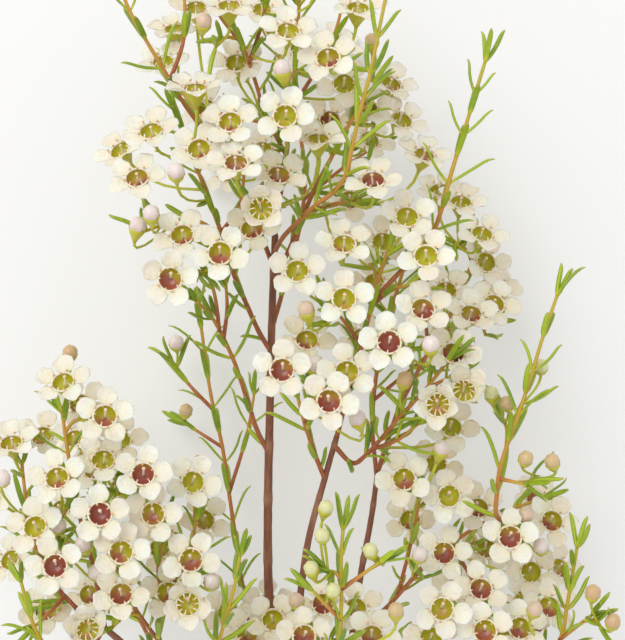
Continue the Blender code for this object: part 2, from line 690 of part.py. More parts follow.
def leaf_solid(node, frame, along, quarter, tilt, length):
    """A leaf on its own, only to test that its place is clear."""
    start, wide, tip = leaf_points(node, frame, along, quarter, tilt, length)
    shape = Shape()
    middle = sum(wide, Vector()) / 3
    foot = shape.add([start + (point - middle) * 0.8 for point in wide])
    ring = shape.add(wide)
    tip = shape.add([tip])[0]
    for i in range(3):
        j = (i + 1) % 3
        shape.face((ring[i], ring[j], tip), "leaf")
        shape.face((foot[i], foot[j], ring[j], ring[i]), "leaf")
    shape.face(foot[::-1], "leaf")
    return shape


def leafy_tube(path, radii, nodes, sides, kind, has_foot):
    """A closed tube along the path with a leaf drawn out of the tube's own side at each leaf place.

    nodes maps a path index to its leaves (quarter, tilt, length); the tube has two rings there.
    """
    shape = Shape()
    above = None
    if has_foot:
        leaving = (path[1] - path[0]).normalized()
        foot = shape.add([path[0] - leaving * FOOT_DEPTH])[0]
        path = [path[0] + leaving * FOOT_RISE, *path[1:]]
    frames = turned_frames(path)
    for k, (point, frame, radius) in enumerate(zip(path, frames, radii)):
        along = (path[min(k + 1, len(path) - 1)] - path[max(k - 1, 0)]).normalized()
        leaves = {quarter: (tilt, length) for quarter, tilt, length in nodes.get(k, ())}
        spread = (-LEAF_FOOT, LEAF_FOOT) if leaves else (0,)
        for n, shift in enumerate(spread):
            ring = shape.add(ring_points(point + along * shift, frame, radius, sides))
            if above is None and has_foot:
                for i in range(sides):
                    shape.face((foot, ring[(i + 1) % sides], ring[i]), kind)
            elif above is None:
                shape.face(ring[::-1], kind)
            for i in range(sides if above else 0):
                j = (i + 1) % sides
                corners = (above[i], above[j], ring[j], ring[i])
                if n == 1 and i in leaves:
                    _, wide, tip = leaf_points(point, frame, along, i, *leaves[i])
                    wide = shape.add(wide)
                    tip = shape.add([tip])[0]
                    shape.face((corners[0], corners[1], wide[0]), "leaf")
                    shape.face((corners[1], wide[1], wide[0]), "leaf")
                    shape.face((corners[1], corners[2], wide[1]), "leaf")
                    shape.face((corners[2], corners[3], wide[1]), "leaf")
                    shape.face((corners[3], wide[2], wide[1]), "leaf")
                    shape.face((corners[3], corners[0], wide[2]), "leaf")
                    shape.face((corners[0], wide[0], wide[2]), "leaf")
                    for m in range(3):
                        shape.face((wide[m], wide[(m + 1) % 3], tip), "leaf")
                else:
                    shape.face(corners, kind)
            above = ring
    shape.face(above, kind)
    return shape


def closest_on(paths, point):
    """The point of the paths that is closest to this one."""
    closest = None
    for path in paths:
        for a, b in zip(path, path[1:]):
            share = max(0.0, min(1.0, (point - a).dot(b - a) / (b - a).length_squared))
            here = a.lerp(b, share)
            if closest is None or (here - point).length < (closest - point).length:
                closest = here
    return closest


def nearest_along(paths, point):
    """(cost, root, direction) of the place on the paths that a side twig towards this point leaves from."""
    best = None
    for path in paths:
        for i in range(1, len(path)):
            along = (path[i] - path[i - 1]).normalized()
            for share in (0.25, 0.5, 0.75):
                root = path[i - 1].lerp(path[i], share)
                gap = point - root
                cost = gap.length * (1.25 - 0.5 * (gap.normalized().dot(along) if gap.length > 0 else 1))
                if best is None or cost < best[0]:
                    best = (cost, root, along)
    return best


def clusters_of(heads):
    """Heads that are near each other, at most CLUSTER_SIZE to a cluster, each with its stalk's start."""
    waiting = list(heads)
    clusters = []
    while waiting:
        seed = waiting.pop(0)
        near = sorted(waiting, key=lambda head: (head["start"] - seed["start"]).length)
        group = [seed]
        for head in near:
            middle = sum((h["start"] for h in group), Vector()) / len(group)
            if len(group) < CLUSTER_SIZE and (head["start"] - middle).length < CLUSTER_REACH:
                group.append(head)
                waiting.remove(head)
        clusters.append(group)
    return clusters


def heads_of(name, spray):
    """Every bloom and bud of a spray, with the place where its stalk ends."""
    heads = []
    rows = [(row, 1.0) for row in spray["blooms"]] + [(row, 0.3) for row in spray["half_open"]]
    for i, (row, spread) in enumerate(rows):
        draw = random.Random(f"{name} bloom {i}")
        facing = facing_of(row[3] + draw.uniform(-0.08, 0.08), row[4] + draw.uniform(-0.06, 0.06))
        turn = draw.uniform(0, math.tau)
        spread = spread * draw.uniform(0.86, 1.0)
        head = {"sort": "bloom", "place": row[:3], "facing": facing, "turn": turn, "spread": spread}
        heads.append({**head, "red": row[5]})
    for i, row in enumerate(spray["buds"]):
        draw = random.Random(f"{name} bud {i}")
        facing = facing_of(draw.uniform(-0.3, 0.3), draw.uniform(0.5, 0.85))
        turn = draw.uniform(0, math.tau)
        heads.append({"sort": "bud", "place": row[:3], "facing": facing, "turn": turn, "size": row[3]})
    for head in heads:
        behind = FUNNEL_LENGTH + STALK_LENGTH if head["sort"] == "bloom" else 1.1 * STALK_LENGTH
        head["start"] = spot(head["place"]) - head["facing"] * behind
    return heads


def cluster_twig(paths, group, lift):
    """The twig that carries a cluster: (its path or None, the points that the stalks leave from)."""
    middle = sum((head["start"] for head in group), Vector()) / len(group)
    _, root, along = nearest_along(paths, middle)
    gap = middle - root
    if len(group) == 1 or gap.length < 2.5 * MM:
        return None, [root] * len(group)
    bend = root + along * gap.length * 0.35 + gap * 0.25 + Vector((0, 0, lift * MM))

    def along_twig(t):
        return root * (1 - t) ** 2 + bend * 2 * t * (1 - t) + middle * t**2

    shares = [1.0 - 0.5 * k / len(group) for k in range(len(group))]
    twig = [along_twig(t) for t in (0, 0.5, 1.0)]
    starts = []
    for share in shares:
        near = twig[1] + (twig[2] - twig[1]) * max(0.05, 2 * share - 1 - 0.04)
        starts.append(near)
    return twig, starts


def leaf_nodes(name, p, path, spacing, is_shoot):
    """The path with a point at each leaf pair, and every leaf that could grow there, pairs set crosswise."""
    draw = random.Random(f"{name} leaves {p}")
    total = sum((b - a).length for a, b in zip(path, path[1:]))
    places, place = [], total * (0.12 if p else 0.25)
    while place < total - 1.5 * MM:
        places.append(place)
        near_tip = max(0.0, (place / total - 0.55) / 0.45) if is_shoot else 0.0
        place += spacing * MM * draw.uniform(0.85, 1.15) * (1 - 0.6 * near_tip)
    stations, run = [(0.0, path[0], False)], 0.0
    for a, b in zip(path, path[1:]):
        length = (b - a).length
        here = [place for place in places if run <= place < run + length]
        stations += [(place, a + (b - a) * ((place - run) / length), True) for place in here]
        run += length
        stations.append((run, b, False))
    kept = []
    for here in stations:
        if kept and here[0] - kept[-1][0] < 5.5 * MM:
            if (kept[-1][2] or not here[2] or len(kept) == 1) and here[0] < total:
                continue
            if len(kept) > 1:
                kept.pop()
        kept.append(here)
    nodes = {}
    for k, (place, _, is_leafy) in enumerate(kept):
        if not is_leafy:
            continue
        near_tip = max(0.0, (place / total - 0.55) / 0.45) if is_shoot else 0.0
        nodes[k] = [
            (quarter, math.radians(draw.uniform(28, 48)) * (1 - 0.5 * near_tip),
             LEAF_LENGTH * draw.uniform(0.75, 1.15) * (1 - 0.38 * near_tip))
            for quarter in ((0, 2) if len(nodes) % 2 else (1, 3))
        ]
    return [point for _, point, _ in kept], nodes


class Garden:
    """What has grown so far, so that nothing new crosses it."""

    def __init__(self):
        self.grown = []

    def keep(self, node, sort, shape):
        self.grown.append((node, sort, shape.tree(), *shape.box()))

    def crosses(self, node, shape, own_sorts):
        """Whether the shape meets anything of another node, or anything of these sorts in its own."""
        low, high = shape.box()
        tree = None
        for other, sort, other_tree, other_low, other_high in self.grown:
            if other == node and sort not in own_sorts:
                continue
            if any(low[i] > other_high[i] or high[i] < other_low[i] for i in range(3)):
                continue
            tree = tree or shape.tree()
            if tree.overlap(other_tree):
                return True
        return False


def swollen(shape, by):
    """The same shape grown outwards a little, for testing that a gap is left round it."""
    middle = sum(shape.points, Vector()) / len(shape.points)
    grown = Shape()
    grown.points = [p + (p - middle).normalized() * by for p in shape.points]
    grown.faces, grown.kinds = shape.faces, shape.kinds
    return grown


def head_shape(head, centre, root):
    if head["sort"] == "bloom":
        kind = "bark" if head["red"] > 0.55 else "cup"
        return bloom(centre, head["facing"], root, head["turn"], head["spread"], kind)
    return bud(centre, head["facing"], root, head["size"], head["turn"])


def moved_head(head, nudge, root):
    """The head's shape after a small move, with a low bloom let down until it touches the table."""
    across, down, height = (head["place"][i] + nudge[i] for i in range(3))
    centre = spot((across, down, max(7, height)))
    if head["sort"] == "bloom" and head["place"][2] < LOW_BLOOM:
        low = min(point.z for point in head_shape(head, centre, root).points)
        centre = centre - Vector((0, 0, low + 0.1 * MM))
    return head_shape(head, centre, root)


def grow_heads(garden, name, spray, paths, shapes):
    """Twigs, stalks, blooms and buds of one spray, each moved a little until it is clear of the rest."""
    for group in clusters_of(heads_of(name, spray)):
        for lift in (0, 3, -3, 6, -6, 9, -9):
            twig, roots = cluster_twig(paths, group, lift)
            if twig is None:
                break
            shape = tube(twig, tapered(twig, 0.6 * MM, 0.55 * MM), SIDE_TWIG_SIDES, "leaf", has_foot=True)
            if not garden.crosses(name, swollen(shape, 0.2 * MM), ()):
                garden.keep(name, "twig", shape)
                shapes.append(shape)
                break
        else:
            print(f"{name}: no way for a twig to", [head["place"] for head in group])
            continue
        for head, root in zip(group, roots):
            for nudge in NUDGES:
                shape = moved_head(head, nudge, root)
                if not garden.crosses(name, swollen(shape, 0.25 * MM), ("head",)):
                    garden.keep(name, "head", shape)
                    shapes.append(shape)
                    break
            else:
                print(f"{name}: no clear place for", head["sort"], head["place"])


def grow_leafy_twigs(garden, name, spray, paths, nodes, shapes):
    """The spray's own twigs, with each leaf that has a clear place."""
    for p, points in enumerate(paths):
        frames = turned_frames(points)
        clear = {}
        for k, leaves in nodes[p].items():
            along = (points[min(k + 1, len(points) - 1)] - points[max(k - 1, 0)]).normalized()
            for quarter, tilt, length in leaves:
                for shorter in (1.0, 0.75):
                    shape = leaf_solid(points[k], frames[k], along, quarter, tilt, length * shorter)
                    if not garden.crosses(name, swollen(shape, 0.25 * MM), ("head", "leaf")):
                        garden.keep(name, "leaf", shape)
                        clear.setdefault(k, []).append((quarter, tilt, length * shorter))
                        break
        thick = TWIG_RADIUS * (1.0 if p == 0 else 0.9)
        radii = tapered(points, thick, TWIG_RADIUS * 0.8)
        kind = "leaf" if spray.get("shoot", False) else "bark"
        shapes.append(leafy_tube(points, radii, clear, TWIG_SIDES, kind, p > 0))


def material(kind):
    colour, roughness = COLOURS[kind]
    made = bpy.data.materials.new(kind)
    made.use_nodes = True
    shader = made.node_tree.nodes["Principled BSDF"]
    shader.inputs["Base Color"].default_value = (*colour, 1)
    shader.inputs["Roughness"].default_value = roughness
    shader.inputs["Metallic"].default_value = 0
    return made


def object_of(name, shape, materials, collection):
    mesh = bpy.data.meshes.new(name)
    mesh.from_pydata(shape.points, [], shape.faces)
    for made in materials:
        mesh.materials.append(made)
    mesh.polygons.foreach_set("material_index", shape.kinds)
    mesh.update()
    obj = bpy.data.objects.new(name, mesh)
    collection.objects.link(obj)
    return obj


def apply_boolean(obj, operation, **operand):
    """Joins or cuts an object and keeps the result as its own mesh."""
    modifier = obj.modifiers.new(operation.lower(), "BOOLEAN")
    modifier.operation = operation
    modifier.solver = "MANIFOLD"
    for key, value in operand.items():
        setattr(modifier, key, value)
    bpy.context.view_layer.update()
    evaluated = obj.evaluated_get(bpy.context.evaluated_depsgraph_get())
    mesh = bpy.data.meshes.new_from_object(evaluated)
    obj.modifiers.clear()
    obj.data = mesh


def keep_largest_body(obj):
    """Drops what a cut or a join left loose, and flattens what would sink into the table."""
    work = bmesh.new()
    work.from_mesh(obj.data)
    for vertex in work.verts:
        vertex.co.z = max(0.0, vertex.co.z)
    left = set(work.verts)
    bodies = []
    while left:
        body, edge = set(), [left.pop()]
        while edge:
            vertex = edge.pop()
            body.add(vertex)
            for link in vertex.link_edges:
                other = link.other_vert(vertex)
                if other in left:
                    left.remove(other)
                    edge.append(other)
        bodies.append(body)
    bodies.sort(key=len)
    for body in bodies[:-1]:
        print(f"{obj.name}: {len(body)} points left loose were dropped")
        bmesh.ops.delete(work, geom=list(body), context="VERTS")
    bmesh.ops.triangulate(work, faces=work.faces[:])
    work.to_mesh(obj.data)
    work.free()


def joined(name, shapes, materials):
    """One object from overlapping closed shapes."""
    scene = bpy.context.scene.collection
    obj = object_of(name, shapes[0], materials, scene)
    if len(shapes) > 1:
        repeats = bpy.data.collections.new(name + "_repeats")
        scene.children.link(repeats)
        made = [object_of(f"{name}_{i}", shape, materials, repeats) for i, shape in enumerate(shapes[1:])]
        apply_boolean(obj, "UNION", operand_type="COLLECTION", collection=repeats)
        for piece in made:
            bpy.data.objects.remove(piece)
        bpy.data.collections.remove(repeats)
    return obj


def limb_path(name):
    return smooth_path([spot(place) for place in LIMBS[name][0]], LIMB_STEP)


def limb_tube(name, extra):
    thick, thin = LIMBS[name][1]
    path = limb_path(name)
    path[-1] = path[-1] + (path[-1] - path[-2]).normalized() * extra
    radii = [radius + extra for radius in tapered(path, thick * MM, thin * MM)]
    return tube(path, radii, LIMB_SIDES, "bark")


def main():
    for obj in list(bpy.data.objects):
        bpy.data.objects.remove(obj)
    materials = [material(kind) for kind in MATERIAL_ORDER]
    garden = Garden()

    stem = joined("main_stem", [limb_tube(name, 0) for name in LIMBS], materials)
    keep_largest_body(stem)
    for name in LIMBS:
        garden.keep("main_stem", "twig", limb_tube(name, 0))

    limbs = [limb_path(name) for name in LIMBS]
    grown, paths, nodes = {}, {}, {}
    for name, spray in SPRAYS.items():
        grown[name], paths[name], nodes[name] = [], [], []
        carriers = paths[spray["grows_from"]] if "grows_from" in spray else limbs
        for p, twig in enumerate(spray["twigs"]):
            points = [spot(place) for place in twig]
            points[0] = closest_on(paths[name] or carriers, points[0])
            path = smooth_path(points, TWIG_STEP)
            path, leaves = leaf_nodes(name, p, path, spray["spacing"], spray.get("shoot", False))
            paths[name].append(path)
            nodes[name].append(leaves)
            radii = tapered(path, TWIG_RADIUS, TWIG_RADIUS * 0.8)
            garden.keep(name, "twig", tube(path, radii, TWIG_SIDES, "bark"))
    for name, spray in SPRAYS.items():
        grow_heads(garden, name, spray, paths[name], grown[name])
    for name, spray in SPRAYS.items():
        grow_leafy_twigs(garden, name, spray, paths[name], nodes[name], grown[name])

    thick_stem = joined("thick_stem", [limb_tube(name, SEAT_GAP) for name in LIMBS], materials)
    thick_stem.hide_render = True
    thick_stem.display_type = "WIRE"
    objects = {}
    for name, spray in SPRAYS.items():
        obj = joined(name, grown[name], materials)
        apply_boolean(obj, "DIFFERENCE", operand_type="OBJECT", object=thick_stem)
        objects[name] = obj
    for name, spray in SPRAYS.items():
        if "grows_from" in spray:
            carrier = paths[spray["grows_from"]]
            for path in carrier:
                seat = tube(path, [0.8 * MM + SEAT_GAP] * len(path), 6, "bark")
                cutter = joined("seat_cutter", [seat], materials)
                apply_boolean(objects[name], "DIFFERENCE", operand_type="OBJECT", object=cutter)
                bpy.data.objects.remove(cutter)
        keep_largest_body(objects[name])
        objects[name].data.name = name
    bpy.data.objects.remove(thick_stem)


main()
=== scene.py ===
import math
import random

import bpy
import numpy as np
from mathutils import Matrix, Vector, kdtree
from mathutils.bvhtree import BVHTree


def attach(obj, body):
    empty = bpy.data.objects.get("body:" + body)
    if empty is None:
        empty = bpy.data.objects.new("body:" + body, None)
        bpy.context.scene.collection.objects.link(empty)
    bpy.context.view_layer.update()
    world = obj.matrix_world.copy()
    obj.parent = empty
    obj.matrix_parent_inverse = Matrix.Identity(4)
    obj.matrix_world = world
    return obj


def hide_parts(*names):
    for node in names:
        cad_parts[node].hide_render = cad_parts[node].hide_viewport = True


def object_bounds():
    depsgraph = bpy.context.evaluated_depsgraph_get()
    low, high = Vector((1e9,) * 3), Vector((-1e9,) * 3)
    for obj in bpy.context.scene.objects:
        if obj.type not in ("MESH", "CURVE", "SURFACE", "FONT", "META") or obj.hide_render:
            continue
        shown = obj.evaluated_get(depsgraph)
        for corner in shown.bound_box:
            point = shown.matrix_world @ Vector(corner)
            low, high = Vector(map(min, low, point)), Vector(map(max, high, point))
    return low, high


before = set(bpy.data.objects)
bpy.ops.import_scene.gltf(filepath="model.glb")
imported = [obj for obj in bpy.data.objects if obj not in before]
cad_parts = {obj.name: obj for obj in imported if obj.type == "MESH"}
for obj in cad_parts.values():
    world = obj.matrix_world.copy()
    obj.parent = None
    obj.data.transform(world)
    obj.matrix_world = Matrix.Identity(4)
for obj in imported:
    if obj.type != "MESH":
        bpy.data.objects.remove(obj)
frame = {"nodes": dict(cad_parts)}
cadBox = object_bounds()
print("frame loaded, box", [[round(value * 1000, 1) for value in corner] for corner in cadBox])

mm = 0.001

# How the plant is set out: places are (across, down, height), seen by an eye straight above the head.
layout = {
    "pictureUnit": 0.28 * mm,  # between two units across or down, at the focus height
    "pictureMiddle": (312.5, 320.0),
    "focusHeight": 80 * mm,
    "eyeHeight": 530 * mm,
    "headShift": Vector((7.1, 96.5, 0.0)) * mm,
    "twigStep": 15 * mm,
    "limbStep": 22 * mm,
    "clusterReach": 14 * mm,
    "clusterSize": 5,
    "lowBloom": 17,  # blooms below this height were let down onto the table
    "lowest": 7,
}
heightNudges = [(0, 0, height) for height in (0, 3, -3, 6, -6, 9, -9, 12, -13)]
sideNudges = [(across, down, height) for height in (0, 5, -5, 10, -10, 15, -16)
              for across, down in ((9, 0), (-9, 0), (0, 9), (0, -9))]

bloomSizes = {
    "reach": 8.4 * mm,  # middle of the cup to a petal's outer edge
    "petalHalfWidth": 3.1 * mm,
    "cupRim": 2.9 * mm,
    "funnelLength": 5.6 * mm,
    "stalkRadius": 0.42 * mm,
    "stalkLength": 8.0 * mm,
}
budSizes = {"youngRadius": 1.75 * mm, "ripeRadius": 2.4 * mm}
leafSizes = {"length": 12.5 * mm, "halfWidth": 0.78 * mm, "thickness": 0.62 * mm, "footOut": 0.825 * mm}
twigSizes = {"radius": 0.75 * mm, "sideRadius": 0.56 * mm}

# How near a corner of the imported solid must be, for a piece to count as found on it.
matching = {
    "bud": 0.04 * mm,
    "petal": 0.12 * mm,
    "petalCorners": 6,  # of ten
    "letDown": 0.03 * mm,
    "leaf": 0.3 * mm,
    "twigReach": 0.62 * mm,
    "twigCorner": 0.575 * mm,  # from a side twig's middle to its corners
    "twigSlack": 0.01 * mm,
    "twigCorners": 3,
}

# The woody stem and the limbs that grow from it: path, and radius in mm at the root and at the end.
limbs = {
    "trunk": ([(303, 1240, 1.9), (299, 1080, 3.4), (292, 920, 15), (286, 800, 30), (276, 690, 42),
               (268, 575, 48), (268, 490, 50), (270, 400, 52), (272, 310, 54), (275, 235, 55)], (2.3, 1.0)),
    "right_limb": ([(291, 890, 18), (292, 760, 36), (296, 640, 50), (307, 548, 54), (325, 478, 58),
                    (337, 436, 60)], (1.5, 0.8)),
    "far_limb": ([(295, 960, 11), (326, 800, 22), (346, 680, 28), (360, 580, 31), (371, 520, 32),
                  (378, 470, 32)], (1.5, 0.8)),
    "left_limb": ([(292, 910, 16), (250, 805, 34), (190, 710, 52), (119, 640, 61),
                   (76, 608, 64)], (1.5, 0.8)),
    "low_limb": ([(297, 1000, 8), (372, 850, 18), (440, 735, 30), (505, 665, 40),
                  (548, 620, 44)], (1.4, 0.8)),
}

